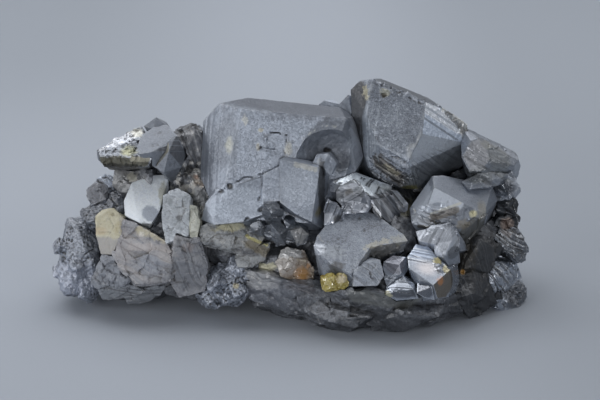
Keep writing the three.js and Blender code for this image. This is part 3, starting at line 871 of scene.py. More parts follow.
@dataclass(frozen=True)
class Mineral:
    """Finish of one mineral: three tones mixed by clouds and grains, pale edges (abrasion and painted
    highlight), hollows darkened (grime and painted shade), fine bumps.

    Args:
        name: Name of the material.
        dark, body, pale: Its three tones.
        worn_and_highlight, dirt, crust, stain: Colours of the pale edges (abrasion and painted highlight), of
            hollows (grime and painted shade) and of what the reliefs leave.
        metallic, roughness, spread, ior, transmission: How it shines, and how much light it lets in.
        grain, grain_depth: Size and height of its grains in mm.
        contrast, sand, blotch: Strength of the mixing, its share of fine grains, size of broad tones in mm.
        glitter, glitter_size: Random turn of the tiny facets and their size in mm.
        wear, dust_and_shade: Share of the pale edges, and of grime and painted shade in the hollows.
        veins, vein_size: Share of the dark veins, in the colour of the hollows, and their spacing in mm.
        patches, lines: What one place alone has.
    """

    name: str
    dark: Colour
    body: Colour
    pale: Colour
    worn_and_highlight: Colour
    dirt: Colour
    crust: Colour = (0.55, 0.55, 0.53)
    stain: Colour = (0.02, 0.018, 0.015)
    metallic: float = 0.5
    roughness: float = 0.42
    spread: float = 0.16
    ior: float = 2.37
    grain: float = 0.45
    grain_depth: float = 0.05
    contrast: float = 1.0
    sand: float = 2.0
    blotch: float = 5.0
    glitter: float = 0.25
    glitter_size: float = 0.5
    wear: float = 0.35
    dust_and_shade: float = 0.8
    transmission: float = 0.0
    veins: float = 0.0
    vein_size: float = 4.0
    patches: tuple[Patch, ...] = ()
    lines: tuple[Lines, ...] = ()

    def material(self) -> bpy.types.Material:
        """Builds the material.

        Returns:
            The finished material.
        """
        s = Shader(self.name)
        broad = s.noise(self.blotch, 3.0, 1.0)
        middle = s.noise(self.grain * 3.5, 3.0, 2.0, 0.6)
        fine = s.noise(self.grain, 2.0, 3.0, 0.6)
        apart, _ = s.grains(self.grain * 1.7, 4.0)
        share = 0.5 + self.contrast * (1.0 * (broad - 0.5) + 0.9 * (middle - 0.5) + self.sand * (fine - 0.5))
        colour = s.mix(share.ramp(0.1, 0.55), self.dark, self.body)
        colour = s.mix(share.ramp(0.55, 1.0), colour, self.pale)
        edge, hollow, relief = s.kept("edge"), s.kept("hollow"), s.kept("relief")
        low = (-1.6 * relief).ramp(0.05, 1.0)
        # Hollows and low places are darkened towards the hollow colour: partly grime, partly painted shade.
        colour = s.mix((hollow * self.dust_and_shade * 0.8 + low * self.dust_and_shade * 0.6).lowest(0.95), colour, self.dirt)
        # Convex edges are lightened towards a pale colour: partly abrasion, partly a painted edge highlight.
        rubbed_and_highlight = 0.12 + 1.2 * s.noise(1.5, 3.0, 5.0, 0.6).ramp(0.42, 0.72)
        colour = s.mix((edge * self.wear * rubbed_and_highlight).lowest(0.9), colour, self.worn_and_highlight)
        height = self.grain_depth * (fine + 0.7 * middle - 0.6 * apart)
        rough = self.roughness + self.spread * (middle - 0.5) + 0.5 * self.spread * (broad - 0.5)
        if self.veins:
            near, _ = s.grains(self.vein_size, 6.0, "DISTANCE_TO_EDGE")
            thin, _ = s.grains(self.vein_size * 0.37, 8.0, "DISTANCE_TO_EDGE")
            line = (1.0 - near.ramp(0.0, 0.045)) + 0.55 * (1.0 - thin.ramp(0.0, 0.05))
            line = line * middle.ramp(0.35, 0.6)
            colour = s.mix((line * self.veins).lowest(1.0), colour, self.dirt)
            height = height - 0.06 * line
        for patch in self.patches:
            mask = s.inside(patch.where, middle, patch.ragged) * patch.strength
            colour = s.mix(mask * (0.7 + 0.6 * fine), colour, tint(*patch.colour))
            if patch.rough:
                rough = rough + patch.rough * mask
        for streak in self.lines:
            colour, height = self.ruled(s, streak, middle, colour, height)
        colour = s.mix((s.kept("crust") * (0.3 + 1.1 * middle)).lowest(0.95), colour, self.crust)
        colour = s.mix((s.kept("stain") * (0.5 + 0.8 * middle)).lowest(0.95), colour, self.stain)
        bump = s.node("ShaderNodeBump", {}, {"Strength": 1.0, "Distance": MM, "Height": height})
        if self.glitter:
            s.feed(bump.inputs["Normal"], self.glittering(s))
        s.feed(s.surface.inputs["Base Color"], colour)
        s.feed(s.surface.inputs["Roughness"], rough.highest(0.06).lowest(0.95))
        s.feed(s.surface.inputs["Normal"], bump.outputs[0])
        s.surface.inputs["Metallic"].default_value = self.metallic
        s.surface.inputs["IOR"].default_value = self.ior
        s.surface.inputs["Transmission Weight"].default_value = self.transmission
        return s.material

    def ruled(self, s: Shader, streak: Lines, ragged: Val, colour: Socket, height: Val) -> tuple[Socket, Val]:
        """Adds one set of lines: a one-way noise along the across direction, wavered, cut to thin lines.

        Args:
            s: The shader.
            streak: The lines.
            ragged: Cloudy value for the edge of their region.
            colour, height: What they are added to.

        Returns:
            The new colour and height.
        """
        place = s.measure("DOT_PRODUCT", s.place, unit(streak.across)) / streak.pitch
        place = place + streak.waver * s.noise(5.0, 1.0, 11.0)
        values = {"W": place, "Scale": 1.0, "Detail": 2.0}
        node = s.node("ShaderNodeTexNoise", {"noise_dimensions": "1D"}, values)
        start = 0.62 - 0.25 * streak.cover
        line = Val(s, node.outputs[0]).ramp(start, start + 0.1)
        mask = s.inside(streak.where, ragged, 0.5)
        colour = s.mix(line * mask * streak.strength, colour, tint(*streak.colour))
        return colour, height - streak.depth * line * mask

    def glittering(self, s: Shader) -> Socket:
        """Tiny facets: the surface's direction plus a random one for each grain.

        Args:
            s: The shader.

        Returns:
            The direction.
        """
        _, tone = s.grains(self.glitter_size, 9.0)
        aside = s.vector("SCALE", s.vector("SUBTRACT", tone, (0.5, 0.5, 0.5)), scale=self.glitter)
        straight = s.node("ShaderNodeNewGeometry").outputs["Normal"]
        return s.vector("NORMALIZE", s.vector("ADD", straight, aside))


class Lustre(Enum):
    """How a blende face shines: roughness, its spread, glitter and depth of the grain."""

    FROSTED = (0.62, 0.14, 0.16, 0.040)
    DULL = (0.47, 0.16, 0.20, 0.040)
    SATIN = (0.33, 0.12, 0.10, 0.020)
    BRIGHT = (0.21, 0.08, 0.05, 0.010)


def blende(name: str, lustre: Lustre = Lustre.DULL, gain: float = 1.0, **changes: Any) -> Mineral:
    """Grey sphalerite.

    Args:
        name: Name of the finish.
        lustre: How its faces shine.
        gain: Brightens every tone.
        changes: Any other field of the finish.

    Returns:
        The finish.
    """
    roughness, spread, glitter, grain_depth = lustre.value
    values: dict[str, Any] = dict(
        name=name,
        dark=tint(120, 127, 139, gain),
        body=tint(141, 149, 162, gain),
        pale=tint(156, 164, 177, gain),
        worn_and_highlight=tint(198, 202, 206, gain),
        dirt=tint(70, 68, 66, gain),
        roughness=roughness,
        spread=spread,
        glitter=glitter,
        glitter_size=0.35,
        grain=0.3,
        grain_depth=grain_depth,
        contrast=0.8,
    )
    values.update(changes)
    return Mineral(**values)


def galena(name: str, gain: float = 1.0, **changes: Any) -> Mineral:
    """Lead-grey galena, metallic and blocky.

    Args:
        name, gain, changes: As for blende.

    Returns:
        The finish.
    """
    values: dict[str, Any] = dict(
        name=name,
        dark=tint(96, 102, 114, gain),
        body=tint(140, 147, 160, gain),
        pale=tint(170, 177, 190, gain),
        worn_and_highlight=tint(196, 201, 210, gain),
        dirt=tint(44, 46, 50, gain),
        metallic=0.75,
        roughness=0.32,
        glitter=0.5,
        grain=0.4,
        grain_depth=0.05,
        dust_and_shade=1.1,
    )
    values.update(changes)
    return Mineral(**values)


def spar(name: str, body: Colour, pale: Colour, dark: Colour, **changes: Any) -> Mineral:
    """Pale cleavable mineral.

    Args:
        name: Name of the finish.
        body, pale, dark: Its three tones.
        changes: Any other field of the finish.

    Returns:
        The finish.
    """
    values: dict[str, Any] = dict(
        name=name,
        dark=dark,
        body=body,
        pale=pale,
        worn_and_highlight=tint(200, 198, 192),
        dirt=tint(84, 78, 68),
        metallic=0.0,
        roughness=0.42,
        ior=1.6,
        glitter=0.16,
        grain=0.45,
        grain_depth=0.05,
        blotch=3.6,
        contrast=1.15,
        sand=0.7,
        veins=0.12,
        vein_size=7.0,
        dust_and_shade=0.6,
        wear=0.0,
    )
    values.update(changes)
    return Mineral(**values)


def glassy(name: str, body: Colour, pale: Colour, dark: Colour, **changes: Any) -> Mineral:
    """Small crystals that let light in.

    Args:
        name: Name of the finish.
        body, pale, dark: Its three tones.
        changes: Any other field of the finish.

    Returns:
        The finish.
    """
    values: dict[str, Any] = dict(
        name=name,
        dark=dark,
        body=body,
        pale=pale,
        worn_and_highlight=tint(214, 208, 186),
        dirt=tint(92, 70, 40),
        metallic=0.0,
        roughness=0.16,
        spread=0.12,
        ior=1.9,
        glitter=0.06,
        grain=0.4,
        grain_depth=0.01,
        blotch=2.5,
        wear=0.35,
        sand=0.8,
        dust_and_shade=0.4,
        transmission=0.25,
    )
    values.update(changes)
    return Mineral(**values)


CREAM: Screen = (200, 192, 166)
YELLOW: Screen = (186, 172, 96)
OLIVE: Screen = (120, 112, 72)


# -------- sub-assemblies


Dressed = tuple[Skin, Mineral, str]


@dataclass
class Assembly:
    """A group of skins with one maker's name."""

    def skins(self) -> list[Dressed]:
        """Skins with their finishes and slot names."""
        raise NotImplementedError

    def make(self) -> list[bpy.types.Object]:
        """Builds and dresses every skin, and reports each.

        Returns:
            The finished pieces.
        """
        pieces = []
        ready: dict[Mineral, bpy.types.Material] = {}
        for skin, mineral, slot in self.skins():
            piece = skin.build()
            if mineral not in ready:
                ready[mineral] = mineral.material()
            piece.data.materials.clear()
            piece.data.materials.append(ready[mineral])
            LOG.info("%s: %d faces", piece.name, len(piece.data.polygons))
            pieces.append(piece)
        return pieces


@dataclass
class Block(Assembly):
    """The big dull crystal: streaked left side, cracked front, raised block, low step, curved hollow."""

    cell: float = 0.3
    streak_pitch: float = 0.55
    crack_width: float = 0.22
    rim_width: float = 0.34
    terrace_depth: float = 0.1

    def cracks(self) -> list[Relief]:
        """The ragged break across the front, the one above the low step and the one down its right side.

        Returns:
            The reliefs.
        """
        upper = ((-7.8, -7, 44.5), (-6, -6.6, 45.4), (-4.4, -6.3, 45.8), (-2.4, -6.3, 45), (-0.7, -6.2, 45))
        step = ((-18.1, -11.4, 31.8), (-15.9, -11.6, 32.1), (-14.9, -10.9, 33.9), (-6.1, -9.7, 36.1))
        side = ((-7, -10.2, 35.4), (-7.2, -12, 33.6), (-6.9, -12.9, 31.6), (-7.4, -14, 29))
        chips = ((-8.2, -7.2, 43.9), (-7.4, -7.7, 42.2), (-8.4, -8.1, 40.9), (-7.2, -8.3, 40.2))
        shelf = ((-6.8, -7.6, 42.1), (-4.4, -7.6, 41.9), (-2.2, -7.7, 41.4))
        plate = ((-0.7, -6.2, 45), (-0.9, -6.7, 43.6), (-1.2, -7.4, 41.8), (-1.4, -8, 39.9),
                 (-2.2, -9.2, 37.6))
        return [
            Crack(0.35, 3, leaves=Leaves.STAIN, route=upper, width=self.crack_width, ragged=0.7),
            Crack(0.30, 4, route=step, width=self.crack_width, ragged=0.6),
            Crack(0.45, 5, leaves=Leaves.STAIN, route=side, width=1.5 * self.crack_width, ragged=1),
            Crack(0.35, 6, leaves=Leaves.STAIN, route=chips, width=self.crack_width, ragged=0.9),
            Crack(0.20, 7, route=shelf, width=self.crack_width, ragged=0.7),
            Crack(0.20, 14, route=plate, width=1.4 * self.crack_width, ragged=0.8),
            Dent(0.5, 8, leaves=Leaves.STAIN, at=(-14.6, -11.4, 33.2), radius=0.9),
            Dent(0.4, 10, leaves=Leaves.STAIN, at=(-17, -11.6, 32), radius=0.8),
            Dent(0.8, 9, leaves=Leaves.STAIN, at=(9.2, -4.1, 39.9), radius=1),
            Dent(0.6, 12, leaves=Leaves.STAIN, at=(-7, -14.6, 28.4), radius=0.9),
            Dent(0.5, 13, leaves=Leaves.STAIN, at=(-10.4, -15.6, 26), radius=0.8),
        ]

    def rims(self) -> list[Relief]:
        """The pale raised line round the hollow.

        Returns:
            The reliefs.
        """
        hollow = ((1.5, -7.4, 41.3), (3.2, -6.2, 44.2), (6.9, -5.2, 46.5), (11.9, -4.6, 47.1))
        return [
            Crack(-0.06, 11, leaves=Leaves.CRUST, route=hollow, width=self.rim_width, ragged=1.1),
        ]

    def reliefs(self) -> list[Relief]:
        """Streaks at the left, terraces on the front, grit all over, ribs in the hollow, cracks, rims.

        Returns:
            The reliefs.
        """
        left = Region((-18.5, -6, 40), (7.5, 12, 18), 0.2)
        front = Region((-4, -10, 38), (17, 9, 13), 0.3)
        hollow = Region((10, -8, 41), (8.5, 9, 8.5), 0.25)
        broken = Region((-6, -7.5, 42.6), (4.4, 4, 4), 0.4)
        return [
            Striae(0.045, 21, left, across=(1, -0.25, 0.06), pitch=self.streak_pitch, waver=0.7, lean=0.8),
            Terraces(self.terrace_depth, 22, front, rough=0.2),
            Shards(0.20, 23, broken, size=2.4, tilt=0.8),
            Grit(0.06, 24, size=2.8, octaves=4),
            Ribs(0.03, 25, hollow, centre=(15, -16, 50), pitch=2.6),
            Grit(0.11, 26, Region((12, -6, 41), (8.5, 8, 8.5), 0.25), size=0.8),
            Pits(0.10, 27, size=3.2, share=0.3, width=0.2),
            *self.cracks(),
            *self.rims(),
        ]

    def finish(self) -> Mineral:
        """Dull blende with cream spots, a hollow darkened partly in its own tone and partly as painted shade,
        a near-black strip of painted shade down the right side of the raised block, and left faces painted
        darker as painted shade.

        Returns:
            The finish.
        """
        band = Region((2, 1.5, 49.8), (24, 8.4, 4.6), 0.35)
        left = Region((-21, -6, 38), (6, 12, 20), 0.5, (-0.7, -0.7, 0.2), 50)
        patches = (
            Patch(band, (98, 102, 112), 0.72, 0.9),
            # The hollow is darkened: partly its own darker tone, partly painted shade.
            spot((10.5, -4, 41.5), (8.5, 6, 7.5), 0.15, (88, 94, 104), 0.75, 0.4, 0.10),
            spot((7.4, -9.8, 38.8), (1, 1.4, 1.3), 0.4, (206, 211, 218), 0.85, 0.6, -0.2),
            spot((17.5, -1, 41), (3.5, 9, 12), 0.3, (184, 190, 200), 0.75, 0.8),
            # The hollow's right facet is darkened: partly its own tone, partly painted shade.
            spot((13, -4.5, 37.5), (3, 3, 4), 0.6, (74, 79, 88), 0.5, 1),
            spot((-15.6, -6, 43), (4, 6, 10), 0.4, (106, 112, 122), 0.6, 0.5),
            spot((-12, -13, 29), (10, 5, 5.4), 0.3, (178, 187, 200), 0.75, 0.6),
            spot((2, -14.6, 33), (5.6, 4, 7), 0.3, (178, 186, 198), 0.6, 0.4),
            # Painted shade: the far left of the block is painted darker.
            spot((-22, -5, 38), (4.5, 10, 20), 0.6, (118, 124, 134), 0.5, 0.5),
            spot((-11, -5.8, 48.5), (0.9, 1.5, 1.6), 0.5, (206, 206, 198), 0.6, 2),
            spot((-15, -7.7, 42.7), (1.5, 3, 2.6), 0.6, (188, 188, 174), 0.65, 0.9),
            spot((-7.1, -6.4, 46.1), (0.8, 1.2, 0.6), 0.4, CREAM, 0.6, 1.4),
            spot((-7.8, -7.6, 42.2), (0.6, 1.2, 1.4), 0.5, CREAM, 0.5, 1.4),
            spot((-0.4, -7.4, 41.6), (1.3, 2, 2.4), 0.6, (182, 178, 162), 0.65, 1),
            spot((1.5, -12.7, 39.4), (0.9, 1.4, 0.8), 0.5, (198, 198, 192), 0.7, 2.5, to=(6, -13.2, 38.3)),
            # Painted shade: a near-black strip down the right side of the raised block.
            spot((7.8, -12, 33.5), (1.2, 5, 9), 0.3, (46, 47, 50), 0.85, 0.8),
            spot((6.6, -14, 27.6), (2, 3, 1.8), 0.6, OLIVE, 0.75, 1),
            # Painted shade: the faces looking left are painted darker.
            Patch(left, (112, 118, 129), 0.40, 0.5),
        )
        lines = (
            Lines(Region((-18, -6, 40), (7, 12, 16), 0.3),
                  (1, -0.25, 0.06), 0.75, (160, 167, 178), 0.25, -0.01, 0.4),
            Lines(Region((-4, -9, 40), (12, 6, 10), 0.5),
                  (1, 0, 0.25), 1.6, (124, 131, 142), 0.30, 0.01, 0.5),
        )
        return blende("block blende", Lustre.DULL, 1.11, patches=patches, lines=lines,
                      crust=tint(186, 188, 184), stain=tint(48, 46, 44), contrast=0.6, sand=1,
                      grain_depth=0.034)

    def skins(self) -> list[Dressed]:
        """The block's skin."""
        return [(Skin("block_crystal", self.cell, self.reliefs()), self.finish(), "blende")]


@dataclass
class Peak(Assembly):
    """The highest crystal: sandy front, streaked left side, striated right face, broken brown foot."""

    cell: float = 0.3
    stripe_pitch: float = 0.75
    rim_width: float = 0.55

    def reliefs(self) -> list[Relief]:
        """Streaks and stripes, the pale broken rims, the pit and the broken foot.

        Returns:
            The reliefs.
        """
        left = Region((20, -4, 44), (3.6, 6, 11), 0.3, (-0.78, -0.63, 0), 40)
        stripes = Region((37.5, 0, 46.6), (8, 7, 6.5), 0.2, (0.68, -0.68, 0.29), 25)
        foot = Region((25.5, -5, 35.5), (7.5, 6, 7), 0.3)
        ridge = ((32.4, -5.9, 44.9), (29.3, -8, 41.4), (29.3, -8.9, 39.7))
        rim = ((37.4, 1.3, 49.7), (41, 3.6, 46.4), (44.5, 5.8, 43.4), (44.3, 4, 39.9))
        skyline = Region((20.8, 1, 57), (1.6, 3, 1.3), 0.5, to=(33, -1.7, 52.1))
        far_rim = Region((37.4, 1.6, 49.9), (1.8, 2.4, 1.6), 0.5, to=(44.4, 5.8, 43.4))
        return [
            Striae(0.14, 31, left, across=(0.8, -0.6, 0.1), pitch=0.8, lean=0.6),
            Striae(0.07, 32, stripes, across=(0.27, 0.59, 0.76), pitch=self.stripe_pitch, waver=0.05,
                   lean=0.7),
            Striae(0.45, 33, foot, across=(0.55, 0.2, 0.8), pitch=0.8, waver=0.5, lean=1),
            Shards(0.25, 34, foot, size=1.6),
            Grit(0.07, 35, size=0.9),
            Grit(0.05, 36, Region((25, -4, 49), (9, 7, 9), 0.3), size=0.5),
            Crack(-0.08, 37, leaves=Leaves.CRUST, route=ridge, width=self.rim_width * 1.4, ragged=0.9),
            Shards(0.35, 39, Region((43.2, 4.6, 42.6), (3, 4, 4.2), 0.4), size=1.3),
            Crack(-0.12, 38, leaves=Leaves.CRUST, route=rim, width=self.rim_width * 1.3, ragged=1),
            Dent(0.6, 40, leaves=Leaves.STAIN, at=(23.2, -1, 53.5), radius=0.85),
            Pits(0.10, 41, size=3, share=0.3, width=0.2),
            Shards(0.35, 42, skyline, size=1.4),
            Shards(0.45, 43, far_rim, size=1.3),
        ]

    def finish(self) -> Mineral:
        """Sandy blende with its brown left face, its striped face and the face below painted pale as painted
        highlight, a dark underside and a yellow-green foot.

        Returns:
            The finish.
        """
        foot = Region((22.3, -5.7, 37.6), (2.8, 3.4, 2.8), 0.4, to=(27.6, -5.3, 33))
        under = Region((37, 0, 35.5), (11, 9, 6), 0.3, (0.66, -0.66, -0.34), 30)
        patches = (
            spot((16.9, 1.5, 50.5), (3.2, 5, 7), 0.2, (54, 51, 48), 0.75, 0.5, facing=(-0.85, -0.48, 0.2),
                 turn=40),
            spot((18.6, 0.4, 54.6), (1, 1.8, 0.9), 0.5, (196, 190, 162), 0.65, 3, to=(18.8, -0.8, 52.9)),
            spot((29.2, -8.2, 41), (1, 1.2, 2.4), 0.5, (186, 190, 196), 0.5, 1.4),
            spot((29, 6, 52.6), (12, 12, 7), 0.2, (84, 90, 99), 0.85, 0.8, facing=(0.39, 0.18, 0.90),
                 turn=16),
            spot((23.4, -0.6, 54), (1.6, 1.5, 1.1), 0.5, (178, 176, 150), 0.5, 2.4),
            spot((20.2, -4, 44.5), (3.2, 5, 10), 0.3, (137, 145, 155), 0.7, facing=(-0.78, -0.63, 0),
                 turn=45),
            # Painted highlight: the striped face and its upper band are painted near white, standing in for
            # its reflection of the light.
            spot((37, 0, 44.6), (14, 14, 12), 0.1, (204, 216, 233), 0.9, 0.3, -0.04,
                 facing=(0.68, -0.68, 0.29), turn=9),
            spot((33.3, -2, 50.6), (1.9, 1.9, 1.9), 0.2, (240, 245, 252), 0.9, 0.3, -0.06,
                 facing=(0.68, -0.68, 0.29), turn=12, to=(42.5, 3.5, 43.6)),
            spot((44, 5, 42.6), (2.4, 4, 3.8), 0.5, (170, 168, 160), 0.5, 1.4),
            spot((38.4, 2, 49.2), (1.3, 2, 1.1), 0.5, (206, 206, 200), 0.7, 2.4, to=(44.6, 5.8, 43)),
            spot((39.4, 2.4, 47.6), (1.1, 1.6, 0.9), 0.5, (46, 46, 46), 0.7, 2.4, to=(44.6, 4.8, 41.6)),
            # Facet tones by facing: the face below the striped one is painted lighter as painted highlight,
            # and the downward face under it a plainer grey as painted shade.
            spot((36, -3, 41), (14, 12, 12), 0.1, (190, 198, 208), 0.8, 0.5, 0.04,
                 facing=(0.64, -0.76, 0.06), turn=8),
            spot((36, -1, 36), (14, 12, 12), 0.1, (136, 142, 149), 0.8, 0.5, -0.04,
                 facing=(0.63, -0.70, -0.34), turn=14),
            Patch(foot, (84, 80, 76), 0.85, 1.4, 0.04),
            spot((23.6, -6.2, 36.7), (1.2, 2, 0.8), 0.5, CREAM, 0.6, 1.8, to=(26.6, -5.6, 34.4)),
            spot((17.8, 0.5, 41.5), (1.6, 4, 7.5), 0.4, (38, 34, 30), 0.85, 0.6),
            spot((30, -5.5, 32.4), (2.2, 3, 4.2), 0.3, (160, 166, 172), 0.6, 0.6, -0.1),
            spot((30, -4, 29.6), (3.5, 4, 1.7), 0.5, (138, 134, 62), 0.75, 0.9),
        )
        lines = (
            Lines(Region((34.4, -2.6, 48.8), (2.6, 2.6, 2.6), 0.3, (0.68, -0.68, 0.29), 12, (41.4, 2, 42.8)),
                  (0.27, 0.59, 0.76), 0.6, (120, 128, 140), 0.7, 0.02, 0.4, 0.05),
            Lines(foot, (0.55, 0.2, 0.8), 0.7, (30, 28, 27), 0.8, 0.05, 0.5, 1.2),
            Lines(foot, (0.5, 0.25, 0.8), 0.9, (170, 168, 160), 0.6, -0.03, 0.2, 1.2),
            Lines(under, (0.1, 0.5, 0.85), 1.2, (84, 88, 94), 0.4, 0.03, 0.3, 0.5),
            Lines(under, (0.2, 0.5, 0.8), 1.5, (168, 174, 182), 0.4, -0.02, 0.1, 0.5),
            Lines(Region((20, -4, 44), (3.4, 6, 10), 0.3),
                  (0.8, -0.6, 0.1), 0.9, (186, 194, 204), 0.45, -0.02, 0.3, 0.5),
            Lines(Region((30, -5.5, 33), (3, 4, 5), 0.3), (0.9, 0.1, 0.35), 0.5, (70, 74, 78), 0.6, 0.03),
            Lines(Region((33, -4.5, 36), (8, 6, 4.5), 0.3), (0.6, 0.2, 0.75), 0.8, (70, 74, 79), 0.3, 0.03),
        )
        return blende("peak blende", Lustre.DULL, 0.92, patches=patches, lines=lines,
                      crust=tint(172, 176, 180), stain=tint(60, 52, 34), dark=tint(98, 104, 114),
                      pale=tint(172, 179, 189), glitter=0.3, contrast=1)

    def skins(self) -> list[Dressed]:
        """The peak's skin."""
        return [(Skin("peak_crystal", self.cell, self.reliefs()), self.finish(), "blende")]


@dataclass
class Wedge(Assembly):
    """The crystal right of centre, with its ledged front, pale ledge and dark tooth."""

    cell: float = 0.24
    ledge_pitch: float = 1.1

    def reliefs(self) -> list[Relief]:
        """Ledges low on the front, fine grit and thin stripes on the pale ledge.

        Returns:
            The reliefs.
        """
        ledged = Region((36, -13.5, 25.8), (7, 5, 3.6), 0.3)
        pale = Region((37, -18, 22), (7, 5, 4.5), 0.3)
        edge = ((30.4, -11.4, 27), (34, -13.6, 24.8), (38, -15, 24.4), (41, -14, 25))
        return [
            Shards(0.40, 51, ledged, size=2, tilt=0.7),
            Striae(0.22, 52, ledged, across=(0.2, 0.5, 0.85), pitch=self.ledge_pitch, waver=0.8, lean=0.5),
            Striae(0.08, 53, pale, across=(0.85, -0.4, -0.2), pitch=0.9, waver=0.4, lean=0.9),
            Shards(0.30, 57, pale, size=3, tilt=0.8),
            Crack(0.25, 54, leaves=Leaves.CRUST, route=edge, width=0.5, ragged=0.9),
            Grit(0.035, 55, size=0.8),
            Shards(0.3, 56, Region((45.5, -9, 22), (6, 6, 6), 0.3, (0.7, -0.7, -0.1), 60), size=2.4),
        ]

    def finish(self) -> Mineral:
        """Dull above, the front triangle and the facet left of it painted brighter as painted highlight,
        brown ledges, yellow-white crust, olive lower right.

        Returns:
            The finish.
        """
        patches = (
            # Painted highlight: the front triangle and the facet left of it are painted brighter, each kept
            # to the faces that look its way.
            spot((37, -11, 29.6), (7, 4, 4), 0.12, (196, 204, 216), 0.85, 0.25, -0.08,
                 facing=(0.25, -0.85, 0.46), turn=16),
            spot((32.5, -10.5, 29.5), (3, 5, 6), 0.3, (188, 196, 208), 0.8, facing=(-0.64, -0.41, 0.65),
                 turn=40),
            spot((34.4, -13.4, 25.7), (1.6, 2.4, 1.2), 0.5, (104, 96, 84), 0.8, 0.9, to=(40.6, -11.4, 27)),
            spot((34.6, -12.9, 26.8), (0.5, 1.2, 0.4), 0.5, (206, 206, 198), 0.8, 0.8, to=(42, -10.4, 28.4)),
            spot((32.2, -13.4, 25.4), (2.8, 2.6, 2), 0.35, (160, 166, 175), 0.75, 0.7, 0.12),
            spot((31.8, -14.2, 23.8), (0.8, 1.4, 0.7), 0.5, (60, 56, 44), 0.85, 0.8, to=(36, -14.2, 23.6)),
            spot((45.4, -10.4, 25.6), (1.5, 2, 1.1), 0.6, (214, 208, 170), 0.9, 1),
            spot((47.6, -8.5, 25.5), (1.6, 4, 3.6), 0.5, (140, 134, 114), 0.5, 0.9),
            spot((45.5, -10.5, 20), (5.5, 6, 5.2), 0.25, (64, 63, 56), 0.85, 0.6),
            spot((42.6, -12.6, 23.6), (2, 2, 1.6), 0.5, (142, 134, 116), 0.6, 1.6, 0.1),
            spot((36.5, -19, 22), (6.5, 5, 4), 0.2, (204, 210, 220), 0.75, 0.5, 0.02),
            spot((39.8, -19.5, 19), (3, 3, 1.8), 0.3, (70, 74, 82), 0.8, 0.4, -0.15, facing=(0.75, -0.66, 0),
                 turn=60),
        )
        lines = (
            Lines(Region((37, -18, 22), (7, 5, 4), 0.3),
                  (0.85, -0.4, -0.2), 0.8, (110, 114, 122), 0.5, 0.02),
            Lines(Region((36.5, -13, 25.6), (6, 4, 2.6), 0.3),
                  (0.2, 0.5, 0.85), 0.7, (86, 82, 78), 0.4, 0.04),
        )
        return blende("wedge blende", Lustre.SATIN, 0.85, patches=patches, lines=lines,
                      crust=tint(206, 204, 192), roughness=0.40)

    def skins(self) -> list[Dressed]:
        """The wedge's skin."""
        return [(Skin("wedge_crystal", self.cell, self.reliefs()), self.finish(), "blende")]


@dataclass
class Front(Assembly):
    """The flat-topped frosted crystal at the front, with a broken dark underside."""

    cell: float = 0.26
    lobe: Region = Region((18.6, -26.4, 16), (5, 4, 4), 0.3)

    def finish(self) -> Mineral:
        """Frosted grey, olive-brown below, one bright spot at the left.

        Returns:
            The finish.
        """
        patches = (
            spot((21, -19.5, 19), (9, 6, 4), 0.3, (128, 127, 124), 0.8, 0.6, facing=(0.24, -0.81, -0.54),
                 turn=60),
            spot((27, -17.5, 21.2), (4.5, 3, 1.4), 0.5, (176, 172, 156), 0.45, 3),
            spot((7, -21.6, 20.6), (2.2, 2.4, 1.8), 0.4, (206, 212, 222), 0.8, 1, -0.3),
            spot((11.2, -25.4, 17.7), (2.8, 2.4, 1.5), 0.5, (46, 44, 40), 0.8, 1.2),
            spot((10.8, -26.4, 15.6), (4.4, 3, 1.8), 0.4, (44, 42, 38), 0.85, 0.8),
            spot((18.4, -20.6, 20.6), (0.8, 1.2, 0.8), 0.5, CREAM, 0.45, 3, to=(23.5, -18.4, 21.6)),
            spot((10.5, -21.8, 20), (4, 3.4, 1.6), 0.4, (168, 174, 182), 0.55, 2),
        )
        lines = (
            Lines(Region((14, -24, 17), (6, 5, 5), 0.4), (0.8, -0.3, 0.5), 0.9, (104, 110, 120), 0.4),
            Lines(self.lobe, (0.7, 0.1, 0.7), 1.3, (196, 202, 212), 0.35, -0.02, 0.4, 1.6),
            Lines(self.lobe, (0.6, 0.2, 0.75), 1.1, (70, 74, 82), 0.4, 0.03, 0.35, 1.6),
        )
        return blende("front blende", Lustre.FROSTED, 1.02, patches=patches, lines=lines, metallic=0.35,
                      contrast=0.9, dark=tint(92, 98, 108), pale=tint(166, 174, 184))

    def skins(self) -> list[Dressed]:
        """The front crystal's skin: pitted top, broken underside, thin pale seams.

        Returns:
            The dressed skins.
        """
        under = Region((21, -19, 18.6), (10, 7, 5), 0.3, (0.2, -0.8, -0.5), 70)
        seam = ((6, -18, 23), (10, -21, 21.5), (14, -25, 18.8))
        reliefs = [
            Terraces(0.12, 61, size=6, steps=3, rough=0.3),
            Shards(0.25, 66, Region((10, -22, 20), (5, 4, 3), 0.4), size=1.8),
            Shards(0.22, 67, self.lobe, size=2.4, tilt=1.1),
            Grit(0.07, 62, size=0.9),
            Pits(0.22, 63, size=2.2, share=0.4, width=0.24),
            Shards(0.45, 64, under, size=2.2),
            Crack(-0.08, 65, leaves=Leaves.CRUST, route=seam, width=0.4),
        ]
        return [(Skin("front_crystal", self.cell, reliefs), self.finish(), "blende")]


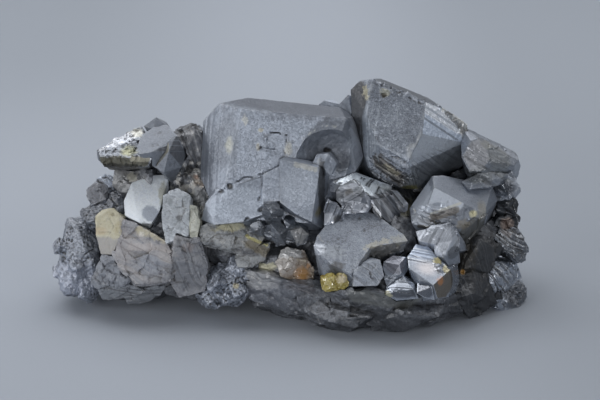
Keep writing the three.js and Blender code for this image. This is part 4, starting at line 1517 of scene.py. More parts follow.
@dataclass
class Bright(Assembly):
    """The five bright crystals at the front right, with striped faces and yellow crusts."""

    cell: float = 0.16
    stripe_pitch: float = 0.55

    def reliefs(self) -> list[Relief]:
        """Stripes on the upper main face and the low crystal, a pale line, chips along the crusts.

        Returns:
            The reliefs.
        """
        upper = Region((31.5, -21, 19.6), (6, 4, 3), 0.25)
        low = Region((26, -27.5, 13.4), (5, 3.6, 3.2), 0.3)
        line = ((28.4, -21.6, 19.4), (31, -22.5, 19), (34.5, -23, 18.6))
        return [
            Striae(0.10, 71, upper, across=(0.1, 0.75, 0.5), pitch=self.stripe_pitch, waver=0.1, lean=0.8),
            Striae(0.14, 72, low, across=(0.1, 0.6, 0.75), pitch=0.6, waver=0.3, lean=0.8),
            Crack(-0.06, 73, leaves=Leaves.CRUST, route=line, width=0.32, ragged=0.1),
            Shards(0.22, 74, Region((36.6, -23.6, 17.4), (2.4, 3.4, 2.6), 0.3), size=1),
            Grit(0.012, 75, size=0.9),
        ]

    def finish(self) -> Mineral:
        """Bright blende: bluish upper stripes, pinkish glare, yellow crusts, orange-brown dark face.

        Returns:
            The finish.
        """
        patches = (
            spot((31.5, -20.5, 19.8), (6, 3.6, 2.4), 0.3, (164, 178, 200), 0.6, 0.4, 0.06),
            spot((33, -25, 17), (4.4, 3.4, 3), 0.9, (228, 220, 218), 0.6, 0.5, 0.04),
            spot((36, -22.6, 18.2), (1.7, 1.6, 1), 0.5, YELLOW, 0.75, 2.5, 0.2),
            spot((37.9, -24.2, 16.4), (1.2, 1.6, 1.5), 0.5, (196, 186, 140), 0.75, 2.5, 0.2),
            spot((37, -26, 13.6), (5, 5, 4.4), 0.2, (90, 80, 62), 0.9, 0.3, 0.05, facing=(0.77, -0.63, 0.03),
                 turn=30),
            spot((36.1, -27, 14.5), (1.6, 2, 1.4), 0.8, (206, 132, 60), 0.7, 1.5),
            spot((32, -28.8, 13), (3.4, 2.4, 2.6), 0.25, (62, 66, 76), 0.85, 0.4,
                 facing=(-0.24, -0.97, 0.09), turn=35),
            spot((27.4, -29, 12.6), (4.2, 2.4, 1.8), 0.3, (54, 58, 66), 0.8, 0.5, facing=(0.07, -0.99, -0.1),
                 turn=40),
            spot((25.4, -23.5, 18), (3.4, 3.6, 3.4), 0.3, (134, 132, 142), 0.6, 0.6, 0.1),
            spot((26.5, -27.6, 13.4), (4, 3, 2.2), 0.4, (112, 118, 128), 0.45, 0.5),
            spot((23.6, -28.6, 11.8), (1.4, 1.6, 1.1), 0.5, (206, 202, 168), 0.85, 1, 0.2),
        )
        lines = (
            Lines(Region((31.5, -21, 19.4), (6, 4, 2.8), 0.3),
                  (0.1, 0.75, 0.5), 0.6, (226, 230, 236), 0.6, -0.01, 0.4, 0.1),
            Lines(Region((26, -27.5, 13.4), (5, 3.6, 3), 0.3),
                  (0.1, 0.6, 0.75), 0.6, (84, 88, 96), 0.6, 0.02),
            Lines(Region((24.6, -24, 17), (3.4, 4, 3.6), 0.3),
                  (0.6, 0.2, 0.75), 1.1, (78, 82, 90), 0.5, 0.02),
        )
        return blende("bright blende", Lustre.BRIGHT, 1.1, patches=patches, lines=lines,
                      crust=tint(214, 216, 220))

    def skins(self) -> list[Dressed]:
        """The cluster's skin."""
        return [(Skin("bright_cluster", self.cell, self.reliefs()), self.finish(), "bright_blende")]


@dataclass
class RightEnd(Assembly):
    """The crystals on the right shoulder and the dark stack of knob, leaf and ribbed piece below them."""

    shoulder_cell: float = 0.26
    stack_cell: float = 0.2

    def shoulder(self) -> Dressed:
        """Grey-green facets with pale edges.

        Returns:
            The dressed skin.
        """
        patches = (
            spot((46.8, -1.4, 39), (6, 6, 6), 0.2, (168, 169, 174), 0.75, 0.5, facing=(0.32, -0.79, 0.53),
                 turn=25),
            spot((52.6, 1, 36), (4.4, 5, 5), 0.3, (118, 122, 122), 0.6, 0.6),
            spot((53.5, -0.3, 28.9), (4, 4, 2.8), 0.4, (52, 58, 68), 0.85, 0.5, -0.12),
            spot((47, -4, 33.5), (6, 4, 2.4), 0.4, (104, 108, 108), 0.6, 0.8, -0.1),
            spot((50, 1, 40), (3, 4, 1.4), 0.6, OLIVE, 0.35, 1.2),
        )
        lines = (Lines(Region((50, 0, 35), (10, 8, 9), 0.3), (0.5, 0.2, 0.85), 1.2, (82, 84, 84), 0.45),)
        reliefs = [
            Striae(0.07, 81, across=(0.5, 0.2, 0.85), pitch=1.3, waver=0.6, lean=0.8),
            Shards(0.22, 82, size=3.2, tilt=0.7),
            Grit(0.05, 83, size=0.8),
        ]
        finish = blende("shoulder blende", Lustre.SATIN, 0.9, patches=patches, lines=lines, contrast=1.2)
        return Skin("flank_crystals", self.shoulder_cell, reliefs), finish, "blende"

    def knob(self) -> Dressed:
        """Dark bluish block.

        Returns:
            The dressed skin.
        """
        reliefs = [
            Shards(0.35, 84, size=2.2),
            Striae(0.12, 85, across=(0.3, 0.2, 0.9), pitch=0.8, lean=0.8),
            Grit(0.03, 86),
        ]
        pink = spot((55.1, -2.5, 19.9), (2.4, 2.6, 2), 0.4, (150, 132, 122), 0.6, 1)
        finish = blende("knob blende", Lustre.SATIN, 0.15, patches=(pink,), contrast=1.3, metallic=0.7)
        return Skin("end_knob", self.stack_cell, reliefs), finish, "blende"

    def leaf(self) -> Dressed:
        """Wavy striated leaf with a pinkish-brown spot.

        Returns:
            The dressed skin.
        """
        reliefs = [
            Striae(0.18, 87, across=(0.55, 0.15, 0.8), pitch=0.9, waver=1.1, lean=0.9),
            Shards(0.2, 88, size=2.6),
            Shards(0.22, 93, size=1.1),
            Grit(0.10, 89, size=0.6),
        ]
        pink = spot((54.6, -4.4, 18.6), (2.2, 2.6, 1.6), 0.5, (140, 132, 128), 0.55, 2)
        leafy = Region((55, -4.6, 17), (6, 7, 6), 0.3)
        lines = (
            Lines(leafy, (0.55, 0.15, 0.8), 0.55, (24, 25, 28), 0.8, 0.05, 0.45, 3.2),
            Lines(leafy, (0.5, 0.2, 0.85), 0.6, (206, 210, 216), 0.6, -0.03, 0.2, 3.2),
        )
        finish = blende("leaf blende", Lustre.SATIN, 0.50, patches=(pink,), lines=lines, contrast=1.2,
                        metallic=0.6)
        return Skin("end_leaf", self.stack_cell, reliefs), finish, "blende"

    def ribbed(self) -> Dressed:
        """Curved pale ribs over a dark granular foot.

        Returns:
            The dressed skin.
        """
        reliefs = [
            Striae(0.16, 90, Region((51.5, -11, 8.5), (6, 7, 6.5), 0.3), across=(0.7, 0.3, 0.62), pitch=0.9,
                   waver=1.8, lean=1),
            Shards(0.3, 91, Region((56, -7, 3), (5, 8, 4), 0.4), size=1.4),
            Shards(0.22, 94, size=1.1),
            Grit(0.12, 92, size=0.6),
        ]
        ribs = Region((51.5, -11, 9), (6, 7, 6.5), 0.3)
        lines = (
            Lines(ribs, (0.7, 0.3, 0.62), 0.6, (206, 210, 216), 0.6, -0.02, 0.3, 3.4),
            Lines(ribs, (0.75, 0.3, 0.55), 0.6, (34, 35, 38), 0.7, 0.04, 0.35, 3.4),
        )
        dark = spot((57, -7, 2.5), (5, 8, 4), 0.4, (58, 60, 64), 0.7, 0.8)
        finish = blende("ribbed blende", Lustre.SATIN, 1.12, patches=(dark,), lines=lines, contrast=1.3,
                        metallic=0.6)
        return Skin("end_ribbed", self.stack_cell, reliefs), finish, "blende"

    def skins(self) -> list[Dressed]:
        """Shoulder, knob, leaf and ribbed piece."""
        return [self.shoulder(), self.knob(), self.leaf(), self.ribbed()]


@dataclass
class UpperLeft(Assembly):
    """The bright sparkling slab, the lens-shaped crystals beside it and the pale and dark crystals below."""

    cell: float = 0.2

    def slab(self) -> Dressed:
        """Very bright flakes on top, lightened partly as a painted highlight, yellow-green middle, olive rim,
        dark underside.

        Returns:
            The dressed skin.
        """
        patches = (
            # Painted highlight: the top is lightened where its flakes catch the light, over their own
            # sparkle.
            spot((-47, -1.6, 40.8), (3, 4, 2.4), 0.4, (190, 193, 200), 0.7, 1.2, -0.08, to=(-41, 1, 42.6)),
            spot((-39.8, -5.4, 40.2), (3, 3.6, 2.2), 0.9, (156, 155, 104), 0.65, 1.2, 0.1),
            spot((-50, -7.6, 38.3), (1.8, 2.4, 1.5), 0.4, (84, 81, 62), 0.85, 1.6, 0.4, to=(-36, -7.7, 38.3)),
            spot((-50, -7.6, 37.4), (1.8, 2.4, 0.8), 0.4, (40, 39, 34), 0.8, 2, 0.3, to=(-38, -7.7, 37.2)),
            spot((-38.6, -7.8, 38.9), (1, 1.6, 0.8), 0.5, (198, 194, 178), 0.85, 1.2, 0.4,
                 to=(-35.2, -7.8, 39)),
            spot((-42, -5, 35.4), (10, 6, 2.2), 0.3, (98, 95, 90), 0.8, 0.8, 0.3),
            spot((-38.4, 2, 42.8), (2.6, 3, 1.4), 0.5, (196, 194, 180), 0.6, 1.6, 0.1),
        )
        reliefs = [
            Shards(0.30, 101, Region((-43, -2, 41.8), (9, 8, 3), 0.2), size=1.9, tilt=1.2),
            Grit(0.05, 102, size=0.7),
            Shards(0.3, 103, size=3),
            Shards(0.3, 112, Region((-50, -7.6, 38), (1.8, 2.6, 2), 0.4, to=(-36, -7.7, 38)), size=1.3),
        ]
        finish = blende("slab blende", Lustre.BRIGHT, 0.56, patches=patches, roughness=0.30, glitter=0.3,
                        contrast=1.2, glitter_size=0.7, wear=0.4, metallic=0.6)
        return Skin("crest_slab", self.cell, reliefs), finish, "bright_blende"

    def lens(self) -> Dressed:
        """Pale blue-grey top, olive lower facet, dark finely lined right lobe.

        Returns:
            The dressed skin.
        """
        patches = (
            spot((-31.4, -6, 39.6), (5, 5, 4), 0.3, (144, 140, 122), 0.75, facing=(-0.68, -0.49, 0.54),
                 turn=30),
            spot((-28.6, -5.4, 41), (5, 6, 6), 0.3, (72, 76, 84), 0.85, 0.4, facing=(0.76, -0.52, 0.38),
                 turn=32),
        )
        lines = (Lines(Region((-28.6, -5.4, 41), (4, 6, 6), 0.3, (0.76, -0.52, 0.38), 32),
                       (0.3, 0.1, 0.95), 0.6, (150, 156, 165), 0.4, -0.02, 0.2, 1.2),)
        reliefs = [Terraces(0.14, 104, size=5, steps=3), Grit(0.05, 105, size=0.8), Pits(0.15, 106, size=2)]
        finish = blende("lens blende", Lustre.FROSTED, 0.72, patches=patches, lines=lines, metallic=0.4)
        return Skin("crest_lens", self.cell, reliefs), finish, "blende"

    def pale(self) -> Dressed:
        """Nearly white face, painted brighter than its own paleness as a painted highlight, with a rounded
        spot darkened as painted shade and a cream-olive strip.

        Returns:
            The dressed skin.
        """
        patches = (
            # Painted shade: the rounded spot is darkened as the shading of its curved facet.
            spot((-34.2, -12.4, 26.6), (2.6, 2.8, 2.6), 0.3, (148, 157, 172), 0.8, 0.5, 0.1),
            spot((-31.6, -6.6, 29.6), (1.3, 5, 3.8), 0.5, (176, 172, 146), 0.6, 0.9, 0.1),
            spot((-38.4, -9, 26.4), (1.6, 3.4, 1.6), 0.5, (120, 124, 132), 0.6, 1.2, to=(-35.6, -12.6, 24)),
        )
        reliefs = [Terraces(0.07, 107, size=5, steps=3), Grit(0.03, 108, size=0.8)]
        # The near-white tones are partly the crystal's own paleness and partly a painted highlight that
        # stands in for its reflection of the light.
        finish = blende("pale blende", Lustre.DULL, patches=patches, contrast=0.6, metallic=0.05, ior=1.8,
                        dark=tint(232, 240, 252), body=tint(244, 250, 255), pale=tint(250, 253, 255))
        return Skin("left_pale", self.cell, reliefs), finish, "bright_blende"

    def dark(self) -> Dressed:
        """Grey broken crystal behind the pale one.

        Returns:
            The dressed skin.
        """
        reliefs = [
            Shards(0.45, 109, size=2.6),
            Steps(0.12, 110, size=1.3, turn=(0.5, 0.2, 0.7)),
            Grit(0.06, 111, size=0.8),
        ]
        plate = spot((-48.2, -4.5, 29), (4, 5, 5), 0.4, (92, 90, 92), 0.8, 0.8)
        finish = blende("dark blende", Lustre.DULL, 2.1, patches=(plate,), contrast=1.2, veins=0.4,
                        vein_size=3)
        return Skin("left_dark", self.cell, reliefs), finish, "blende"

    def skins(self) -> list[Dressed]:
        """Slab, lens, pale and dark crystal."""
        return [self.slab(), self.lens(), self.pale(), self.dark()]


@dataclass
class Galena(Assembly):
    """Galena at the left, the left end, the front, and the striated piece in the middle."""

    block: float = 1.1
    band_pitch: float = 1.0

    def striated(self) -> Dressed:
        """Crisp planes: an etched band painted near white as a painted reflection, a grey face, a dark
        striated right part and a low fan.

        Returns:
            The dressed skin.
        """
        band = Region((17.8, -7, 33.2), (9.4, 6, 4.2), 0.2, (0.22, -0.38, 0.9), 36)
        inner = Region((14.6, -11.4, 31.6), (4.4, 3.4, 3.4), 0.3)
        right = Region((24.5, -11.5, 27.5), (5.5, 6, 6), 0.3)
        fan = Region((10.5, -14.6, 26.6), (4.5, 4, 4.8), 0.3)
        etched = (
            ((11.1, -8.6, 33.4), (13.8, -5.5, 35.2)),
            ((12.2, -8.8, 33), (16, -9.2, 34.2), (17.2, -10.4, 33), (18.7, -10.3, 31.1), (19.8, -11.1, 30)),
            ((20.9, -5.1, 32.8), (19.5, -8.2, 32.1)),
            ((20.3, -5.4, 32.9), (18.9, -8, 32.2)),
            ((18.5, -5.9, 33.3), (17.4, -10, 33.3)),
            ((17.8, -6, 33.5), (16.9, -9.6, 33.7)),
            ((22.1, -7.6, 31.7), (21.2, -9.8, 30.8), (22.8, -10.3, 30.3)),
        )
        reliefs = [
            Striae(0.03, 121, band, across=(0.85, 0.5, -0.1), pitch=1.6, waver=0.05, lean=1),
            Striae(0.02, 122, band, across=(0.3, -0.9, 0.2), pitch=0.7, waver=0.05, lean=0.8),
            Terraces(0.45, 128, inner, size=3.4, rough=0.1),
            Shards(0.30, 129, Region((15.6, -12.8, 29), (4.6, 2.6, 3.2), 0.3), size=2.2),
            Striae(0.22, 123, right, across=(0.75, 0.1, 0.6), pitch=self.band_pitch, waver=0.1, lean=1.2),
            Striae(0.24, 124, fan, across=(0.8, 0.2, -0.5), pitch=1.1, waver=0.4, lean=1.4),
            Grit(0.03, 126, size=1.6),
            *(Crack(0.10, 127, leaves=Leaves.STAIN, route=way, width=0.46, ragged=0.12) for way in etched),
        ]
        patches = (
            # Painted reflection: the band is painted near white, standing in for its mirror reflection of the
            # light.
            Patch(band, (236, 246, 255), 0.97, 0.4, -0.05),
            Patch(inner, (84, 88, 94), 0.8, 0.9, 0.2),
            spot((14.6, -11.6, 31.6), (1.4, 2, 1.2), 0.5, (84, 80, 74), 0.7, 1.4, 0.1),
            spot((15.6, -12.8, 29), (4.6, 2.4, 2.8), 0.3, (98, 103, 113), 0.8, 0.9, 0.1),
            spot((12.4, -11.2, 32.6), (0.8, 1.6, 0.6), 0.5, (206, 212, 222), 0.8, 0.8,
                 to=(16.6, -10.6, 33.4)),
            Patch(right, (48, 52, 60), 0.85, 0.5),
            spot((9.6, -14.8, 25.6), (1.8, 2, 2.6), 0.4, (214, 219, 228), 0.8, 0.8),
            spot((11.8, -14, 24.8), (1.5, 2, 2.4), 0.4, (34, 36, 40), 0.85, 0.8),
        )
        lines = (
            Lines(band, (0.25, -0.85, 0.4), 0.9, (150, 158, 172), 0.35, 0.01, 0.1, 0.4),
            Lines(inner, (-0.5, 0.3, 0.8), 1.1, (176, 181, 190), 0.35, -0.01, 0.2, 1.4),
            Lines(Region((15.6, -12.6, 29.4), (4.6, 3, 2.6), 0.3),
                  (0.25, 0.2, 0.93), 1.1, (206, 211, 220), 0.4, -0.01, 0.2, 1.8),
            Lines(right, (0.75, 0.1, 0.6), 1, (150, 156, 166), 0.5, -0.01, 0.4, 0.4),
        )
        finish = galena("striated galena", patches=patches, lines=lines, roughness=0.3, glitter=0.08,
                        grain_depth=0.01, contrast=0.7, wear=0.4, stain=tint(30, 32, 38), metallic=0.4)
        return Skin("galena_striated", 0.17, reliefs), finish, "galena"

    def rough(self, node: str, cell: float, seed: int, gain: float, **changes: Any) -> Dressed:
        """One granular piece of galena.

        Args:
            node: Name of the solid.
            cell: Size of the even cells.
            seed: Chooses the pattern.
            gain: Brightness.
            changes: Other fields of the finish.

        Returns:
            Skin, finish and slot.
        """
        reliefs = [
            Shards(0.30, seed, size=2.6),
            Steps(0.12, seed + 1, size=self.block, turn=(0.5, 0.3, 0.6)),
            Pits(0.45, seed + 3, size=1.25, share=0.5, width=0.34),
            Grit(0.30, seed + 4, size=0.9),
        ]
        name = node.replace("_", " ")
        return Skin(node, cell, reliefs, crisp=False), galena(name, gain, **changes), "galena"

    def skins(self) -> list[Dressed]:
        """The four pieces.

        Returns:
            The dressed skins.
        """
        cream = spot((-13.2, -20.6, 10.8), (0.9, 1.4, 0.9), 0.4, CREAM, 0.9, 0.8, 0.2)
        low = spot((-53, -10, 8), (9, 9, 6), 0.5, (184, 191, 208), 0.6, 1.4)
        return [
            self.striated(),
            self.rough("galena_bank", 0.22, 131, 0.52, metallic=0.4, roughness=0.42),
            self.rough("galena_lump", 0.22, 141, 0.95, patches=(low,), metallic=0.3, roughness=0.46),
            self.rough("galena_patch", 0.22, 151, 1.05, patches=(cream,), metallic=0.45, roughness=0.42),
        ]


@dataclass
class Spar(Assembly):
    """The pale cleavable pieces at the left front and the one under the block."""

    cell: float = 0.24
    leaf_cell: float = 0.2
    fill: float = 0.4

    def cleaved(
        self,
        node: str,
        seed: int,
        finish: Mineral,
        shard: float = 4.5,
        depth: float = 0.5,
        marks: Sequence[Relief] = (),
    ) -> Dressed:
        """One piece with shallow breaks of two sizes, soft flow lines and a few pits.

        Args:
            node: Name of the solid.
            seed: Chooses the pattern.
            finish: Its finish.
            shard: Size of the breaks.
            depth: Their depth.
            marks: Reliefs of this piece alone.

        Returns:
            Skin, finish and slot.
        """
        reliefs = [
            Shards(0.7 * depth, seed, size=shard),
            Shards(0.3 * depth, seed + 4, size=0.5 * shard),
            Striae(0.14 * depth, seed + 1, across=(0.3, 0.1, 0.95), pitch=1.5, waver=1.6, lean=1),
            Grit(0.10, seed + 2, size=2.2, octaves=4),
            Pits(0.25, seed + 3, size=2.8, share=0.35, width=0.22),
            *marks,
        ]
        return Skin(node, self.cell, reliefs, grow=self.fill), finish, "spar"

    def yellow(self) -> Dressed:
        """Cream-yellow above, pinkish grey below, with a shallow split between.

        Returns:
            The dressed skin.
        """
        patches = (
            spot((-44, -14, 17.2), (9, 8, 4.9), 0.16, (172, 169, 166), 0.9, 0.3),
            spot((-46.6, -14, 22.6), (3, 3, 1.2), 0.5, (190, 160, 122), 0.3, 1.2),
            spot((-40.6, -14, 25), (1.6, 4, 6), 0.5, (170, 166, 164), 0.5, 0.8),
        )
        finish = spar("yellow spar", tint(200, 195, 172), tint(218, 214, 198), tint(184, 175, 144),
                      patches=patches)
        split = Crack(0.10, 164, width=0.4, ragged=0.6,
                      route=((-49, -13, 22), (-46.8, -14.6, 22), (-44.6, -15.2, 22.1), (-41, -16.2, 21.9)))
        return self.cleaved("spar_yellow", 161, finish, 6, 0.3, (split,))

    def bulk(self) -> Dressed:
        """Pinkish grey in soft bands, bluish low right, cream along the top.

        Returns:
            The dressed skin.
        """
        patches = (
            spot((-36.8, -14.6, 22.9), (1.6, 3, 1.3), 0.5, CREAM, 0.8, 1.6, to=(-30.6, -14.6, 21)),
            spot((-34, -18.6, 15.6), (4.6, 4, 3.4), 0.6, (150, 158, 172), 0.45, 0.7),
            spot((-40.5, -17, 19), (3, 5, 7), 0.5, (158, 154, 155), 0.6, 0.8),
            spot((-36.5, -17.4, 19.6), (5, 4, 1.2), 0.4, (190, 182, 180), 0.6, 1.2),
            spot((-30.4, -17.6, 18.2), (2.6, 4, 3), 0.5, (172, 166, 163), 0.6, 0.9),
            spot((-24.4, -17, 15), (5.4, 6, 8.4), 0.3, (114, 117, 124), 0.75, 0.8),
            spot((-33.2, -14.6, 21.9), (1.3, 1.6, 1), 0.5, (226, 224, 216), 0.7, 1.6),
            spot((-36.2, -15.4, 22.4), (1.2, 1.6, 0.8), 0.5, (226, 224, 216), 0.7, 1.6),
            spot((-25, -17.6, 19.6), (2, 3, 1.6), 0.4, (136, 124, 120), 0.5, 1.4),
        )
        flow = Region((-24.4, -17, 15), (5.6, 6, 9), 0.3)
        banded = Region((-36, -17, 17), (9, 6, 8), 0.3)
        lines = (
            Lines(banded, (0.45, 0.1, 0.88), 1.7, (200, 194, 192), 0.35, -0.02, 0.5, 1.6),
            Lines(banded, (0.4, 0.1, 0.9), 1.3, (104, 94, 88), 0.32, 0.03, 0.2, 1.8),
            Lines(flow, (0.95, 0.1, 0.25), 1.1, (150, 154, 160), 0.38, -0.02, 0.4, 1.6),
            Lines(flow, (0.9, 0.1, 0.35), 1, (62, 62, 66), 0.40, 0.03, 0.35, 1.8),
        )
        steps = (
            ((-41.6, -18.2, 16), (-39.1, -19, 13.4), (-36.7, -19.1, 13.2), (-35.2, -18.4, 15.8)),
            ((-41.8, -17.9, 16.6), (-39.4, -18.6, 16.9), (-36.7, -18.6, 15.6)),
        )
        split = [Crack(0.20, 166 + k, width=0.4, ragged=0.8, route=way) for k, way in enumerate(steps)]
        finish = spar("grey spar", tint(158, 159, 164), tint(186, 185, 187), tint(124, 124, 130),
                      patches=patches, lines=lines, contrast=1.3)
        return self.cleaved("spar_bulk", 165, finish, 5, 0.7, split)

    def skins(self) -> list[Dressed]:
        """All seven pieces.

        Returns:
            The dressed skins.
        """
        layered = spar("layered spar", tint(136, 140, 148), tint(168, 170, 176), tint(92, 94, 100),
                       contrast=1.1, dirt=tint(66, 66, 70))
        bedding = Lines(Region((-38, -16, 8), (14, 8, 5), 0.3),
                        (0.15, 0.1, 0.98), 1, (70, 68, 68), 0.6, 0.05, 0.3, 1.8)
        keel = spar("bluish spar", tint(142, 146, 152), tint(170, 171, 173), tint(104, 106, 112),
                    lines=(bedding,), contrast=1.1, dirt=tint(66, 64, 62))
        speck = spot((-27.6, -13.6, 25.5), (1.3, 1.8, 1.3), 0.8, (70, 70, 70), 0.7, 3)
        column = spar("greenish spar", tint(188, 194, 201), tint(214, 218, 222), tint(150, 156, 161),
                      patches=(speck,), metallic=0.2)
        leaf = glassy("leaf spar", tint(196, 198, 186), tint(226, 226, 212), tint(152, 152, 140),
                      transmission=0.1)
        brow_patches = (
            spot((-14.5, -14, 23.8), (5, 3, 1.8), 0.5, (200, 194, 158), 0.65, 1.6),
            spot((-10, -17.4, 18.6), (4.4, 3, 1.4), 0.5, (84, 84, 88), 0.75, 1.6),
            spot((-9, -16.8, 20), (2.6, 2.6, 1.2), 0.4, (138, 130, 112), 0.75, 0.9, -0.25,
                 to=(-6, -16.8, 18)),
            spot((-10.6, -15.4, 21.8), (0.5, 1.2, 0.4), 0.5, (214, 206, 140), 0.7, 1.4,
                 to=(-5.6, -16.4, 19.6)),
            spot((-19, -13, 22.5), (2.5, 3, 2), 0.5, (96, 96, 94), 0.6, 1.2),
        )
        brow = spar("olive spar", tint(150, 153, 156), tint(186, 185, 179), tint(100, 101, 102),
                    patches=brow_patches, contrast=1.2)
        return [
            self.yellow(),
            self.bulk(),
            self.cleaved("spar_corner", 171, layered, 3.2, 0.8),
            self.cleaved("spar_keel", 175, keel),
            self.cleaved("spar_column", 179, column, 3, 0.35),
            (Skin("spar_leaf", self.leaf_cell, [Shards(0.2, 183, size=2.2), Grit(0.03, 184)]), leaf, "spar"),
            self.cleaved("spar_brow", 187, brow, 2.8, 0.5),
        ]


@dataclass
class SmallCrystals(Assembly):
    """The amber crystal, the yellow ones and the small dark ones under the block."""

    cell: float = 0.15

    def skins(self) -> list[Dressed]:
        """Amber, yellow and dark crystals.

        Returns:
            The dressed skins.
        """
        amber_patches = (
            # Painted light: the top of the amber crystal lies in the shade of the dark crystals above and is
            # painted lighter, up to near white.
            spot((-1.5, -20.5, 17), (4, 4, 3.6), 0.5, (184, 178, 172), 0.8, 0.8, 0.1),
            spot((-0.2, -17.6, 18.4), (5, 3.4, 2), 0.4, (250, 250, 250), 0.95, 0.8, 0.1),
            spot((3, -20.2, 13.6), (2.4, 3, 2.6), 0.6, (176, 132, 80), 0.85, 0.8),
            spot((4.6, -20, 15.4), (1, 1.4, 1), 0.6, (200, 140, 70), 0.45, 1.6),
        )
        amber = glassy("amber", tint(152, 140, 128), tint(188, 180, 172), tint(122, 100, 78),
                       patches=amber_patches, transmission=0.15)
        heart = spot((12.4, -27, 15.2), (1.6, 2, 1.6), 0.5, (226, 214, 200), 0.5, 1)
        yellow = glassy("yellow blende", tint(188, 172, 92), tint(220, 208, 160), tint(142, 122, 54),
                        transmission=0.1, patches=(heart,))
        grey = spot((2.4, -16.6, 22.6), (2.8, 2.6, 3.2), 0.5, (158, 158, 158), 0.85, 1.2)
        upper = spot((-2, -17, 26.2), (1.6, 2, 1.2), 0.5, (126, 130, 138), 0.6, 1)
        dark = blende("small dark blende", Lustre.SATIN, 0.46, contrast=1.1, wear=0.5, metallic=0.55,
                      patches=(grey, upper))
        broken = [Shards(0.28, 191, size=1.5), Grit(0.03, 192, size=0.6)]
        lumpy = [Shards(0.26, 194, size=1.2), Grit(0.10, 196, size=0.8)]
        small = [Striae(0.10, 198, across=(0.3, 0.2, 0.9), pitch=0.5, lean=0.8), Shards(0.12, 199, size=1.4)]
        return [
            (Skin("amber_crystal", self.cell, broken), amber, "amber"),
            (Skin("yellow_crystals", self.cell, lumpy), yellow, "amber"),
            (Skin("dark_crystals", self.cell, small), dark, "blende"),
        ]


@dataclass
class Back(Assembly):
    """The crystals on the hidden side, as dull as the block."""

    cell: float = 0.42
    nodes: tuple[str, ...] = ("back_left", "back_right", "back_middle", "back_low", "back_end")

    def skins(self) -> list[Dressed]:
        """One skin per crystal, each with its own streaks, terraces and tone.

        Returns:
            The dressed skins.
        """
        made: list[Dressed] = []
        for number, node in enumerate(self.nodes):
            seed = 201 + 7 * number
            across = (math.cos(1.3 * number), math.sin(1.3 * number), 0.6)
            reliefs = [
                Striae(0.12, seed, Region((0, 0, 0), (200, 200, 90), 0.9), across=across, pitch=1.1,
                       lean=0.6),
                Terraces(0.2, seed + 1, rough=0.25),
                Grit(0.06, seed + 2, size=1.1),
                Pits(0.2, seed + 3, size=4, share=0.4, width=0.25),
            ]
            finish = blende(node.replace("_", " ") + " blende", Lustre.DULL, 0.9 + 0.06 * (number % 3),
                            contrast=1.1)
            made.append((Skin(node, self.cell, reliefs), finish, "blende"))
        return made


